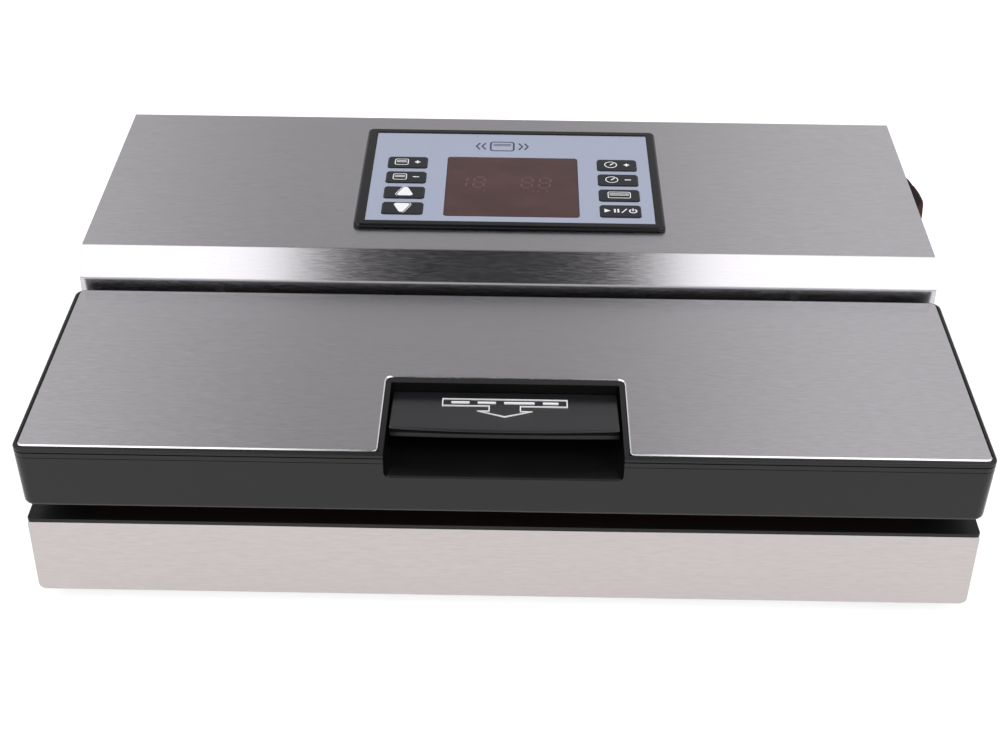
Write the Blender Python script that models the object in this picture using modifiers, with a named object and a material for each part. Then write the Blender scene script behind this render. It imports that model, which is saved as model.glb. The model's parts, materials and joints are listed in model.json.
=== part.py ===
"""A countertop vacuum sealer with a stainless body, a black hinged lid and a control panel.

Metres, +Z up, +X to the right, and the front faces -Y. Every position below is measured in the
machine frame: x from the middle of the body, y from the face of the front panel, and z from the
lower edge of the panels. An empty then puts that frame where the finished part belongs, with its
origin at the bottom centre of the whole object. Lid pieces are laid out with the lid pressed
level, and the empty on the hinge axis holds the lid slightly ajar.
"""

import math

import bmesh
import bpy
from mathutils import Matrix, Vector

# Whole machine
BODY_WIDTH = 0.440
HALF_WIDTH = BODY_WIDTH / 2
SHEET = 0.0012  # stainless sheet
GAP = 0.0003  # air between pieces that touch
FOOT_HEIGHT = 0.007
FRONT_HEIGHT = 0.0407  # front panel, lower edge to upper edge
HOUSING_FRONT = 0.1414  # upright strip of the housing cover
HOUSING_REAR = 0.3055
HOUSING_TOP = 0.0990
FOLD_HEIGHT = 0.0866  # where the upright strip turns into the chamfer
CHAMFER_REAR = 0.1539
SWITCH_PROUD = 0.0080  # the rocker's hump stands this far out of the right side

# Deck and sealing zone
DECK_TOP = 0.0428
DECK_RIM = 0.0018
DECK_THICKNESS = 0.0043
DECK_REAR = 0.150
WELL_X, WELL_Y = 0.1975, (0.0545, 0.1015)  # inside of the vacuum channel
WELL_FLOOR = 0.0225
GASKET_OUTER_X, GASKET_OUTER_Y = 0.2070, (0.0420, 0.1140)
GASKET_WIDTH = 0.0065
GASKET_CORNER = 0.010
BAR_HALF_LENGTH = 0.195
BAR_Y = (0.019, 0.031)

# Lid, as it lies when pressed level
LID_HALF_TOP = 0.2207
LID_HALF_BOTTOM = 0.2191
LID_Y = (-0.0035, 0.1360)
LID_Z = (0.0507, 0.0828)
LID_FRONT_AT_REST = -0.0039
LID_WALL = 0.0025
LID_CORNER = 0.0055
PLATE_HALF = 0.2187  # stainless top plate
PLATE_Y = (-0.0007, 0.1349)
PLATE_Z = (0.0822, 0.0833)
PLATE_CORNER = 0.0033
LID_AJAR = math.radians(1.2)
HINGE_Y, HINGE_Z = 0.126, 0.073
HINGE_X = 0.150  # middle of each bracket
POCKET_HALF = 0.054  # finger pocket in the lid's front
POCKET_REAR = 0.055
POCKET_SILL = 0.0703  # lower edge of the pocket's mouth
POCKET_FLOOR = 0.0674
POCKET_WALL = 0.0025
POCKET_FRONT = -0.0018  # front of the pocket below its sill
RIM_HALF, RIM_REAR = 0.0563, 0.0594  # black edge around the pocket, level with the lid's rim
GRIP_HALF = 0.0530

# Control panel
BEZEL_X, BEZEL_Y = (-0.0818, 0.0827), (0.1745, 0.2860)
BEZEL_TOP = 0.1015
OVERLAY_X, OVERLAY_Y = (-0.0759, 0.0775), (0.1799, 0.2808)
OVERLAY_Z = (0.1002, 0.1010)
WINDOW_X, WINDOW_Y = (-0.0345, 0.0374), (0.1860, 0.2526)
KEY_SIZE = (0.0215, 0.0126)
KEY_COLUMNS = (-0.0568, 0.0595)
KEY_FRONT_ROW = 0.1929
KEY_PITCH = 0.01727
KEY_TOP = 0.1016
KEY_FLANGE = 0.0008

# Right side switch
SWITCH_Y = (0.2030, 0.2600)
SWITCH_Z = (0.0666, 0.0946)
SWITCH_BORDER = 0.0036  # from the frame's edge to the rocker
ROCKER_AXIS = (0.216, 0.231)

# Inside the housing
INLET_X, INLET_Z = 0.150, 0.032
FAN_X, FAN_Z = -0.125, 0.050
FAN_RADIUS = 0.023
PUMP_Y, PUMP_Z = 0.225, 0.030
VALVE_X, VALVE_Y = 0.079, 0.179
PORT_X, PORT_Y = 0.150, 0.078
MAGNET_X, MAGNET_Y = -0.2105, 0.026

COLLECTION = "vacuum_sealer"
CUTTER_COLLECTION = "vacuum_sealer_cutters"

# name: (linear colour, roughness, metallic)
MATERIALS = {
    "stainless": ((0.52, 0.51, 0.52), 0.32, 1.0),
    "steel": ((0.45, 0.45, 0.46), 0.40, 1.0),
    "black_abs": ((0.020, 0.020, 0.021), 0.42, 0.0),
    "gloss_black": ((0.012, 0.012, 0.014), 0.18, 0.0),
    "rubber": ((0.016, 0.016, 0.017), 0.80, 0.0),
    "gasket_foam": ((0.055, 0.055, 0.058), 0.90, 0.0),
    "silicone": ((0.42, 0.10, 0.07), 0.55, 0.0),
    "tray_plastic": ((0.045, 0.047, 0.050), 0.45, 0.0),
    "aluminium": ((0.62, 0.62, 0.63), 0.30, 1.0),
    "heater_metal": ((0.50, 0.46, 0.40), 0.35, 1.0),
    "ptfe_cloth": ((0.33, 0.22, 0.12), 0.50, 0.0),
    "overlay_film": ((0.36, 0.42, 0.60), 0.35, 0.2),
    "window_film": ((0.075, 0.030, 0.026), 0.12, 0.0),
    "key_black": ((0.015, 0.016, 0.020), 0.35, 0.0),
    "red_plastic": ((0.35, 0.010, 0.012), 0.25, 0.0),
    "circuit_board": ((0.020, 0.110, 0.045), 0.50, 0.0),
    "copper": ((0.50, 0.20, 0.08), 0.35, 1.0),
    "core_steel": ((0.16, 0.16, 0.17), 0.55, 1.0),
    "part_blue": ((0.030, 0.080, 0.260), 0.40, 0.0),
    "hose_silicone": ((0.55, 0.55, 0.52), 0.40, 0.0),
}


# ---------------------------------------------------------------- helpers


def clear_scene():
    for item in list(bpy.data.objects):
        bpy.data.objects.remove(item, do_unlink=True)


def make_collection(name):
    collection = bpy.data.collections.new(name)
    bpy.context.scene.collection.children.link(collection)
    return collection


def paint(item, material_name):
    """Gives the object its own Principled material."""
    colour, roughness, metallic = MATERIALS[material_name]
    material = bpy.data.materials.new(f"{item.name}_{material_name}")
    material.use_nodes = True
    shader = material.node_tree.nodes["Principled BSDF"]
    shader.inputs["Base Color"].default_value = (*colour, 1.0)
    shader.inputs["Roughness"].default_value = roughness
    shader.inputs["Metallic"].default_value = metallic
    item.data.materials.clear()
    item.data.materials.append(material)


def pivot(name, position, parent=None, turn_x=0.0):
    """An empty at a place of the machine frame, which its children are measured from."""
    empty = bpy.data.objects.new(name, None)
    bpy.data.collections[COLLECTION].objects.link(empty)
    empty["machine_position"] = position
    empty.rotation_euler.x = turn_x
    empty.location = Vector(position)
    if parent:
        empty.parent = parent
        empty.location -= Vector(parent["machine_position"])
    return empty


def add(name, data, position, parent, material=None):
    """Links an object. One without a material is a cutter, or stock that a union uses."""
    item = bpy.data.objects.new(name, data)
    home = COLLECTION if material else CUTTER_COLLECTION
    bpy.data.collections[home].objects.link(item)
    item.parent = parent
    item.location = Vector(position) - Vector(parent["machine_position"])
    if material:
        paint(item, material)
    else:
        item.hide_render = True
        item.display_type = "WIRE"
    return item


def edges_to_round(mesh, where):
    """Edges along X, Y or Z, the lower or upper ones of those, or the rim of the top or bottom."""
    heights = [vertex.co.z for vertex in mesh.verts]
    extreme = {"top": max(heights), "bottom": min(heights)}
    if where in extreme:
        return [e for e in mesh.edges if all(abs(v.co.z - extreme[where]) < 1e-6 for v in e.verts)]
    axis = "XYZ".index(where[0])
    found = []
    for edge in mesh.edges:
        direction = (edge.verts[0].co - edge.verts[1].co).normalized()
        if abs(direction[axis]) < 0.999:
            continue
        middle = (edge.verts[0].co.z + edge.verts[1].co.z) / 2
        if where.endswith("low") and middle > 0 or where.endswith("high") and middle < 0:
            continue
        found.append(edge)
    return found


def box_data(name, boxes, centre, rounds, taper=(1.0, 1.0)):
    """Mesh of closed boxes, each between two corners, measured from centre."""
    data = bpy.data.meshes.new(name)
    mesh = bmesh.new()
    for low, high in boxes:
        middle = (Vector(low) + Vector(high)) / 2 - Vector(centre)
        size = Vector(high) - Vector(low)
        place = Matrix.Translation(middle) @ Matrix.Diagonal((*size, 1.0))
        bmesh.ops.create_cube(mesh, size=1.0, matrix=place)
    for where, radius, segments in rounds:
        edges = edges_to_round(mesh, where)
        bmesh.ops.bevel(
            mesh, geom=edges, offset=radius, segments=segments, profile=0.5, affect="EDGES"
        )
    if taper != (1.0, 1.0):
        floor = min(vertex.co.z for vertex in mesh.verts)
        for vertex in mesh.verts:
            share = min(1.0, vertex.co.z / floor) if vertex.co.z < 0 else 0.0
            vertex.co.x *= 1 + (taper[0] - 1) * share
            vertex.co.y *= 1 + (taper[1] - 1) * share
    mesh.to_mesh(data)
    mesh.free()
    return data


def block(name, low, high, parent, material=None, rounds=(), taper=(1.0, 1.0)):
    centre = tuple((a + b) / 2 for a, b in zip(low, high))
    data = box_data(name, [(low, high)], centre, rounds, taper)
    return add(name, data, centre, parent, material)


def block_cutter(name, boxes, parent, rounds=()):
    origin = tuple(parent["machine_position"])
    return add(name, box_data(name, boxes, origin, rounds), origin, parent)


AXIS_TURN = {
    "X": Matrix.Rotation(math.pi / 2, 4, "Y"),
    "Y": Matrix.Rotation(-math.pi / 2, 4, "X"),
    "Z": Matrix.Identity(4),
}


def cylinder(name, centre, radius, length, axis, parent, material=None, segments=24, top_radius=None):
    """A closed cylinder or cone whose axis runs along X, Y or Z."""
    data = bpy.data.meshes.new(name)
    mesh = bmesh.new()
    bmesh.ops.create_cone(
        mesh,
        cap_ends=True,
        segments=segments,
        radius1=radius,
        radius2=radius if top_radius is None else top_radius,
        depth=length,
        matrix=AXIS_TURN[axis],
    )
    mesh.to_mesh(data)
    mesh.free()
    data.shade_smooth()
    data.set_sharp_from_angle(angle=math.radians(40))
    return add(name, data, centre, parent, material)


def combine(target, tool, operation="DIFFERENCE"):
    modifier = target.modifiers.new(tool.name, "BOOLEAN")
    modifier.solver = "EXACT"
    modifier.operation = operation
    modifier.object = tool
    return target


def cut(target, *tools):
    for tool in tools:
        combine(target, tool, "DIFFERENCE")
    return target


def join(target, *tools):
    for tool in tools:
        combine(target, tool, "UNION")
    return target


def outline_plate(name, outlines, thickness, centre_x, parent, material):
    """A flat plate across X. Each outline is a closed list of (y, z); later ones are holes."""
    curve = bpy.data.curves.new(name, "CURVE")
    curve.dimensions = "2D"
    curve.fill_mode = "BOTH"
    curve.extrude = thickness / 2
    for outline in outlines:
        spline = curve.splines.new("POLY")
        spline.points.add(len(outline) - 1)
        for point, (y, z) in zip(spline.points, outline):
            point.co = (y, z, 0.0, 1.0)
        spline.use_cyclic_u = True
    item = add(name, curve, (centre_x, 0.0, 0.0), parent, material)
    item.rotation_euler = (math.pi / 2, 0.0, math.pi / 2)
    return item


def wire(name, points, radius, parent, material, resolution=2):
    """A round wire or tube through points of the machine frame."""
    curve = bpy.data.curves.new(name, "CURVE")
    curve.dimensions = "3D"
    curve.bevel_depth = radius
    curve.bevel_resolution = resolution
    curve.use_fill_caps = True
    spline = curve.splines.new("POLY")
    spline.points.add(len(points) - 1)
    start = Vector(points[0])
    for point, place in zip(spline.points, points):
        point.co = (*(Vector(place) - start), 1.0)
    return add(name, curve, tuple(start), parent, material)


def arc_points(centre, radius, start_deg, end_deg, steps):
    """Points (a, b) on an arc about centre, angles counted from the first axis to the second."""
    found = []
    for step in range(steps + 1):
        angle = math.radians(start_deg + (end_deg - start_deg) * step / steps)
        found.append((centre[0] + radius * math.cos(angle), centre[1] + radius * math.sin(angle)))
    return found


def ring(name, half_x, y_span, z_span, width, corner, parent, material=None):
    """A rounded rectangle with the same width all round, for a gasket or its groove."""
    outer = block(
        name,
        (-half_x, y_span[0], z_span[0]),
        (half_x, y_span[1], z_span[1]),
        parent,
        material,
        rounds=[("Z", corner, 4)],
    )
    hole = block(
        f"{name}_hole",
        (-half_x + width, y_span[0] + width, z_span[0] - 0.002),
        (half_x - width, y_span[1] - width, z_span[1] + 0.002),
        parent,
        rounds=[("Z", corner - width, 3)],
    )
    return cut(outer, hole)


# ---------------------------------------------------------------- lower body


def build_chassis(machine):
    """Floor pan, front and side panels, and four rubber feet."""
    inner_x = HALF_WIDTH - SHEET - GAP
    pan_y = (SHEET + GAP, 0.3025)
    pan_wall = 0.0015
    pan = block(
        "base_pan",
        (-inner_x, pan_y[0], 0.0),
        (inner_x, pan_y[1], 0.014),
        machine,
        "steel",
    )
    hollow = block(
        "base_pan_hollow",
        (-inner_x + pan_wall, pan_y[0] + pan_wall, pan_wall),
        (inner_x - pan_wall, pan_y[1] - pan_wall, 0.020),
        machine,
    )
    slots = []
    for column in range(8):
        for row_y in (0.160, 0.270):
            x = -0.0875 + column * 0.025
            slots.append(((x - 0.008, row_y, -0.002), (x + 0.008, row_y + 0.003, 0.004)))
    cut(pan, hollow, block_cutter("base_pan_slots", slots, machine))

    block(
        "front_panel",
        (-HALF_WIDTH, 0.0, 0.0),
        (HALF_WIDTH, SHEET, FRONT_HEIGHT),
        machine,
        "stainless",
        rounds=[("Y low", 0.005, 5), ("Y high", 0.001, 2)],
    )

    side_front, side_rear = SHEET + GAP, 0.3040
    under_cover = SHEET + GAP
    fold = HOUSING_FRONT + under_cover
    chamfer_shift = under_cover * math.sqrt(2)
    chamfer_line = FOLD_HEIGHT - HOUSING_FRONT - chamfer_shift
    top = HOUSING_TOP - under_cover
    profile = [
        (side_front, 0.0),
        (side_rear, 0.0),
        (side_rear, top),
        (top - chamfer_line, top),
        (fold, fold + chamfer_line),
        (fold, DECK_TOP + GAP),
        (DECK_REAR + GAP, DECK_TOP + GAP),
        (DECK_REAR + GAP, FRONT_HEIGHT),
        (side_front, FRONT_HEIGHT),
    ]
    margin = 0.0017
    switch_hole = [
        (SWITCH_Y[0] + margin, SWITCH_Z[0] + margin),
        (SWITCH_Y[1] - margin, SWITCH_Z[0] + margin),
        (SWITCH_Y[1] - margin, SWITCH_Z[1] - margin),
        (SWITCH_Y[0] + margin, SWITCH_Z[1] - margin),
    ]
    middle_x = HALF_WIDTH - SHEET / 2
    outline_plate("left_side_panel", [profile], SHEET, -middle_x, machine, "stainless")
    outline_plate(
        "right_side_panel", [profile, switch_hole], SHEET, middle_x, machine, "stainless"
    )

    for side, x in (("left", -0.190), ("right", 0.190)):
        for end, y in (("front", 0.028), ("rear", 0.275)):
            cylinder(
                f"foot_{end}_{side}",
                (x, y, -(FOOT_HEIGHT + GAP) / 2),
                0.0095,
                FOOT_HEIGHT - GAP,
                "Z",
                machine,
                "rubber",
                top_radius=0.011,
            )


def build_deck(machine):
    """Black deck with the vacuum channel, its gasket, the drip tray and the seal bar."""
    rim_z = DECK_TOP - DECK_RIM
    deck = block(
        "deck",
        (-HALF_WIDTH, 0.0, rim_z),
        (HALF_WIDTH, DECK_REAR, DECK_TOP),
        machine,
        "black_abs",
        rounds=[("Z", 0.0015, 2)],
    )
    inner_x = HALF_WIDTH - SHEET - 2 * GAP
    body = block(
        "deck_body",
        (-inner_x, SHEET + GAP, DECK_TOP - DECK_THICKNESS),
        (inner_x, DECK_REAR - 0.001, rim_z + 0.0005),
        machine,
    )
    wall = 0.0025
    basin = block(
        "deck_basin",
        (-WELL_X - wall, WELL_Y[0] - wall, WELL_FLOOR - wall),
        (WELL_X + wall, WELL_Y[1] + wall, rim_z - 0.002),
        machine,
        rounds=[("Z", 0.008, 3)],
    )
    well = block(
        "deck_well",
        (-WELL_X, WELL_Y[0], WELL_FLOOR),
        (WELL_X, WELL_Y[1], 0.050),
        machine,
        rounds=[("Z", 0.006, 3)],
    )
    groove_margin = 0.0006
    groove = ring(
        "deck_groove",
        GASKET_OUTER_X + groove_margin,
        (GASKET_OUTER_Y[0] - groove_margin, GASKET_OUTER_Y[1] + groove_margin),
        (0.0410, 0.050),
        GASKET_WIDTH + 2 * groove_margin,
        GASKET_CORNER + groove_margin,
        machine,
    )
    port_hole = cylinder(
        "deck_port_hole", (PORT_X, PORT_Y, WELL_FLOOR), 0.0050, 0.012, "Z", machine
    )
    join(deck, body, basin)
    cut(deck, well, groove, port_hole)

    ring(
        "lower_gasket",
        GASKET_OUTER_X,
        GASKET_OUTER_Y,
        (0.0413, 0.0468),
        GASKET_WIDTH,
        GASKET_CORNER,
        machine,
        "gasket_foam",
    )

    port = cylinder(
        "vacuum_port",
        (PORT_X, PORT_Y, WELL_FLOOR + GAP + 0.0008),
        0.009,
        0.0016,
        "Z",
        machine,
        "aluminium",
    )
    stem = cylinder("port_stem", (PORT_X, PORT_Y, 0.0187), 0.0044, 0.0094, "Z", machine)
    bore = cylinder("port_bore", (PORT_X, PORT_Y, 0.020), 0.0025, 0.030, "Z", machine, segments=16)
    join(port, stem)
    cut(port, bore)

    bar_middle = (BAR_Y[0] + BAR_Y[1]) / 2
    block(
        "seal_bar",
        (-BAR_HALF_LENGTH, BAR_Y[0], DECK_TOP + GAP),
        (BAR_HALF_LENGTH, BAR_Y[1], 0.0458),
        machine,
        "aluminium",
        rounds=[("top", 0.0006, 1)],
    )
    block(
        "heater_strip",
        (-0.1905, bar_middle - 0.0025, 0.0460),
        (0.1905, bar_middle + 0.0025, 0.0463),
        machine,
        "heater_metal",
    )
    block(
        "ptfe_tape",
        (-0.193, bar_middle - 0.005, 0.0466),
        (0.193, bar_middle + 0.005, 0.0469),
        machine,
        "ptfe_cloth",
    )

    tray_pivot = pivot("drip_tray_pivot", (0.0, 0.078, WELL_FLOOR + GAP), machine)
    tray = block(
        "drip_tray",
        (-0.120, 0.0575, WELL_FLOOR + GAP),
        (0.120, 0.0985, 0.0345),
        tray_pivot,
        "tray_plastic",
        rounds=[("Z", 0.005, 3)],
    )
    tray_hollow = block(
        "drip_tray_hollow",
        (-0.1185, 0.0590, WELL_FLOOR + GAP + 0.0015),
        (0.1185, 0.0970, 0.040),
        tray_pivot,
        rounds=[("Z", 0.0038, 3)],
    )
    tab = block("drip_tray_tab", (-0.132, 0.070, 0.0330), (-0.119, 0.086, 0.0345), tray_pivot)
    cut(join(tray, tab), tray_hollow)


# ---------------------------------------------------------------- lid


def build_lid_frame(lid):
    """Hollow black shell with a finger pocket at the front and hinge ears at the rear."""
    frame = block(
        "lid_frame",
        (-LID_HALF_TOP, LID_Y[0], LID_Z[0]),
        (LID_HALF_TOP, LID_Y[1], LID_Z[1]),
        lid,
        "black_abs",
        rounds=[("Z", LID_CORNER, 4), ("bottom", 0.0024, 3), ("top", 0.0006, 2)],
        taper=(LID_HALF_BOTTOM / LID_HALF_TOP, 1.0),
    )
    inside_x = LID_HALF_BOTTOM - LID_WALL
    inside_y = (LID_Y[0] + LID_WALL, LID_Y[1] - LID_WALL)
    cavity_top = 0.0792
    cavity = block(
        "lid_cavity",
        (-inside_x, inside_y[0], 0.045),
        (inside_x, inside_y[1], cavity_top),
        lid,
        rounds=[("Z", 0.003, 3)],
    )
    plate_seat = block(
        "lid_plate_seat",
        (-PLATE_HALF - GAP, PLATE_Y[0] - GAP, PLATE_Z[0] - GAP),
        (PLATE_HALF + GAP, PLATE_Y[1] + GAP, 0.090),
        lid,
        rounds=[("Z", PLATE_CORNER + GAP, 3)],
    )
    inside_wall = LID_Y[0] + 0.0012
    pocket_box = block(
        "pocket_box",
        (-POCKET_HALF - POCKET_WALL, inside_wall, POCKET_FLOOR - POCKET_WALL),
        (POCKET_HALF + POCKET_WALL, POCKET_REAR + POCKET_WALL, 0.0815),
        lid,
    )
    pocket_rim = block(
        "pocket_rim",
        (-RIM_HALF, inside_wall, 0.0810),
        (RIM_HALF, RIM_REAR, LID_Z[1] + 0.0001),
        lid,
        rounds=[("Z", 0.0038, 3)],
    )
    pocket_mouth = block(
        "pocket_mouth",
        (-POCKET_HALF, -0.010, POCKET_SILL),
        (POCKET_HALF, POCKET_REAR, 0.090),
        lid,
        rounds=[("Y low", 0.003, 3)],
    )
    pocket_well = block(
        "pocket_well",
        (-POCKET_HALF, POCKET_FRONT, POCKET_FLOOR),
        (POCKET_HALF, POCKET_REAR, 0.080),
        lid,
        rounds=[("Y low", 0.003, 3)],
    )
    ears, notches = [], []
    for x in (-HINGE_X, HINGE_X):
        for ear in ((x - 0.0085, x - 0.0030), (x + 0.0030, x + 0.0085)):
            ears.append(((ear[0], 0.1195, 0.0665), (ear[1], 0.1329, 0.0800)))
        notches.append(((x - 0.003, 0.130, 0.045), (x + 0.003, 0.140, 0.0800)))
    pin_hole = cylinder("lid_pin_hole", (0.0, HINGE_Y, HINGE_Z), 0.0028, 0.330, "X", lid, segments=16)
    cut(frame, cavity, plate_seat)
    join(frame, pocket_box, pocket_rim, block_cutter("lid_ears", ears, lid))
    cut(frame, pocket_mouth, pocket_well, block_cutter("lid_notches", notches, lid), pin_hole)


def build_lid_trim(lid):
    """Stainless top plate and the grip inside the finger pocket."""
    plate = block(
        "lid_plate",
        (-PLATE_HALF, PLATE_Y[0], PLATE_Z[0]),
        (PLATE_HALF, PLATE_Y[1], PLATE_Z[1]),
        lid,
        "stainless",
        rounds=[("Z", PLATE_CORNER, 3)],
    )
    plate_cut = block(
        "lid_plate_cut",
        (-RIM_HALF - GAP, -0.020, 0.075),
        (RIM_HALF + GAP, RIM_REAR + GAP, 0.090),
        lid,
        rounds=[("Z", 0.004, 3)],
    )
    cut(plate, plate_cut)

    # (y, z) of the grip: a shelf that falls to the rear, with a thick lip to pull and press
    profile = [
        (0.0185, 0.0810),
        (0.0200, 0.0816),
        (0.0547, 0.0780),
        (0.0547, 0.0755),
        (0.0260, 0.0775),
        (0.0225, 0.0762),
        (0.0200, 0.0757),
        (0.0186, 0.0762),
        (0.0182, 0.0785),
    ]
    outline_plate("lid_handle", [profile], 2 * GRIP_HALF, 0.0, lid, "gloss_black")


def build_lid_liner(lid):
    """Liner under the lid with the chamber roof, the upper gasket and the pressure strip."""
    liner = block(
        "lid_liner",
        (-0.2157, 0.0016, 0.0512),
        (0.2157, 0.1165, 0.0532),
        lid,
        "black_abs",
        rounds=[("Z", 0.0025, 2)],
    )
    roof = block("liner_roof", (-0.198, 0.0525, 0.0525), (0.198, 0.1035, 0.0630), lid)
    chamber = block("liner_chamber", (-0.196, 0.0545, 0.0480), (0.196, 0.1015, 0.0612), lid)
    cut(join(liner, roof), chamber)

    ring(
        "upper_gasket",
        GASKET_OUTER_X,
        GASKET_OUTER_Y,
        (0.0471, 0.0509),
        GASKET_WIDTH,
        GASKET_CORNER,
        lid,
        "gasket_foam",
    )
    block(
        "pressure_strip",
        (-0.194, 0.0185, 0.0472),
        (0.194, 0.0315, 0.0509),
        lid,
        "silicone",
        rounds=[("bottom", 0.0010, 2)],
    )
    cylinder(
        "lid_magnet",
        (MAGNET_X, MAGNET_Y, 0.0550),
        0.0035,
        0.0030,
        "Z",
        lid,
        "steel",
        segments=16,
    )


def build_hinges(machine, lid):
    """Two brackets on the deck, and in the lid the pins and the counterbalance springs."""
    for side, x in (("left", -HINGE_X), ("right", HINGE_X)):
        bracket = block(
            f"hinge_bracket_{side}",
            (x - 0.007, 0.117, DECK_TOP + GAP),
            (x + 0.007, 0.135, DECK_TOP + GAP + 0.002),
            machine,
            "steel",
        )
        upright = block(
            f"bracket_upright_{side}",
            (x - 0.0015, HINGE_Y - 0.0055, DECK_TOP + GAP + 0.001),
            (x + 0.0015, HINGE_Y + 0.0055, HINGE_Z),
            machine,
        )
        eye = cylinder(f"bracket_eye_{side}", (x, HINGE_Y, HINGE_Z), 0.0055, 0.0030, "X", machine)
        hole = cylinder(
            f"bracket_hole_{side}", (x, HINGE_Y, HINGE_Z), 0.0028, 0.010, "X", machine, segments=16
        )
        cut(join(bracket, upright, eye), hole)

        outward = math.copysign(1.0, x)
        pin_span = (x - outward * 0.0083, x + outward * 0.0190)
        cylinder(
            f"hinge_pin_{side}",
            (sum(pin_span) / 2, HINGE_Y, HINGE_Z),
            0.0025,
            abs(pin_span[1] - pin_span[0]),
            "X",
            lid,
            "steel",
            segments=16,
        )
        wire(
            f"hinge_spring_{side}",
            spring_points(x + outward * 0.0095, outward),
            0.0006,
            lid,
            "steel",
        )


def spring_points(start_x, outward):
    """A torsion spring around the pin, with its rear leg lying along the roof of the lid."""
    turns, steps, radius, wire_pitch = 4, 9, 0.0040, 0.0018
    points = []
    for step in range(turns * steps + 1):
        angle = math.pi / 2 + 2 * math.pi * step / steps
        x = start_x + outward * wire_pitch * step / steps
        points.append(
            (x, HINGE_Y + radius * math.cos(angle), HINGE_Z + radius * math.sin(angle))
        )
    last = points[-1]
    points.append((last[0], HINGE_Y - 0.014, HINGE_Z + radius + 0.0008))
    return points


# ---------------------------------------------------------------- housing


def build_housing(machine):
    """Folded stainless cover and the rear panel with its openings."""
    profile = [
        (HOUSING_FRONT, DECK_TOP + GAP),
        (HOUSING_FRONT, FOLD_HEIGHT),
        (CHAMFER_REAR, HOUSING_TOP),
        (HOUSING_REAR, HOUSING_TOP),
        (HOUSING_REAR, 0.0910),
    ]
    data = bpy.data.meshes.new("housing_cover")
    mesh = bmesh.new()
    corners = [mesh.verts.new((-HALF_WIDTH, y, z)) for y, z in profile]
    edges = [mesh.edges.new(pair) for pair in zip(corners, corners[1:])]
    swept = bmesh.ops.extrude_edge_only(mesh, edges=edges)["geom"]
    moved = [item for item in swept if isinstance(item, bmesh.types.BMVert)]
    bmesh.ops.translate(mesh, verts=moved, vec=(BODY_WIDTH, 0.0, 0.0))
    bmesh.ops.recalc_face_normals(mesh, faces=mesh.faces)
    if sum(face.normal.z * face.calc_area() for face in mesh.faces) < 0:
        bmesh.ops.reverse_faces(mesh, faces=mesh.faces)
    mesh.to_mesh(data)
    mesh.free()
    cover = add("housing_cover", data, (0.0, 0.0, 0.0), machine, "stainless")
    shell = cover.modifiers.new("sheet", "SOLIDIFY")
    shell.thickness = SHEET
    shell.offset = -1.0
    shell.use_even_offset = True
    cut(cover, block("panel_opening", (-0.074, 0.182, 0.090), (0.074, 0.278, 0.110), machine))

    rear = block(
        "rear_panel",
        (-HALF_WIDTH + SHEET + GAP, 0.3028, 0.0018),
        (HALF_WIDTH - SHEET - GAP, 0.3040, HOUSING_TOP - SHEET - 2 * GAP),
        machine,
        "stainless",
    )
    openings = [
        ((INLET_X - 0.0138, 0.300, INLET_Z - 0.0103), (INLET_X + 0.0138, 0.307, INLET_Z + 0.0103))
    ]
    for step in range(-3, 4):
        z = FAN_Z + step * 0.006
        half = math.sqrt((FAN_RADIUS - 0.001) ** 2 - (step * 0.006) ** 2)
        openings.append(((FAN_X - half, 0.300, z - 0.0015), (FAN_X + half, 0.307, z + 0.0015)))
    for step in range(9):
        x = -0.040 + step * 0.010
        openings.append(((x - 0.0015, 0.300, 0.055), (x + 0.0015, 0.307, 0.085)))
    cut(rear, block_cutter("rear_openings", openings, machine))


def build_inlet(machine):
    """Socket for a detachable mains lead, in the rear panel."""
    inlet = block(
        "power_inlet",
        (INLET_X - 0.0155, 0.3043, INLET_Z - 0.0115),
        (INLET_X + 0.0155, HOUSING_REAR - 0.0001, INLET_Z + 0.0115),
        machine,
        "black_abs",
        rounds=[("Y", 0.002, 2)],
    )
    body = block(
        "inlet_body",
        (INLET_X - 0.0135, 0.284, INLET_Z - 0.010),
        (INLET_X + 0.0135, 0.305, INLET_Z + 0.010),
        machine,
    )
    socket = block(
        "inlet_socket",
        (INLET_X - 0.012, 0.288, INLET_Z - 0.0083),
        (INLET_X + 0.012, 0.310, INLET_Z + 0.0083),
        machine,
        rounds=[("Y high", 0.004, 2)],
    )
    cut(join(inlet, body), socket)


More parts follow.
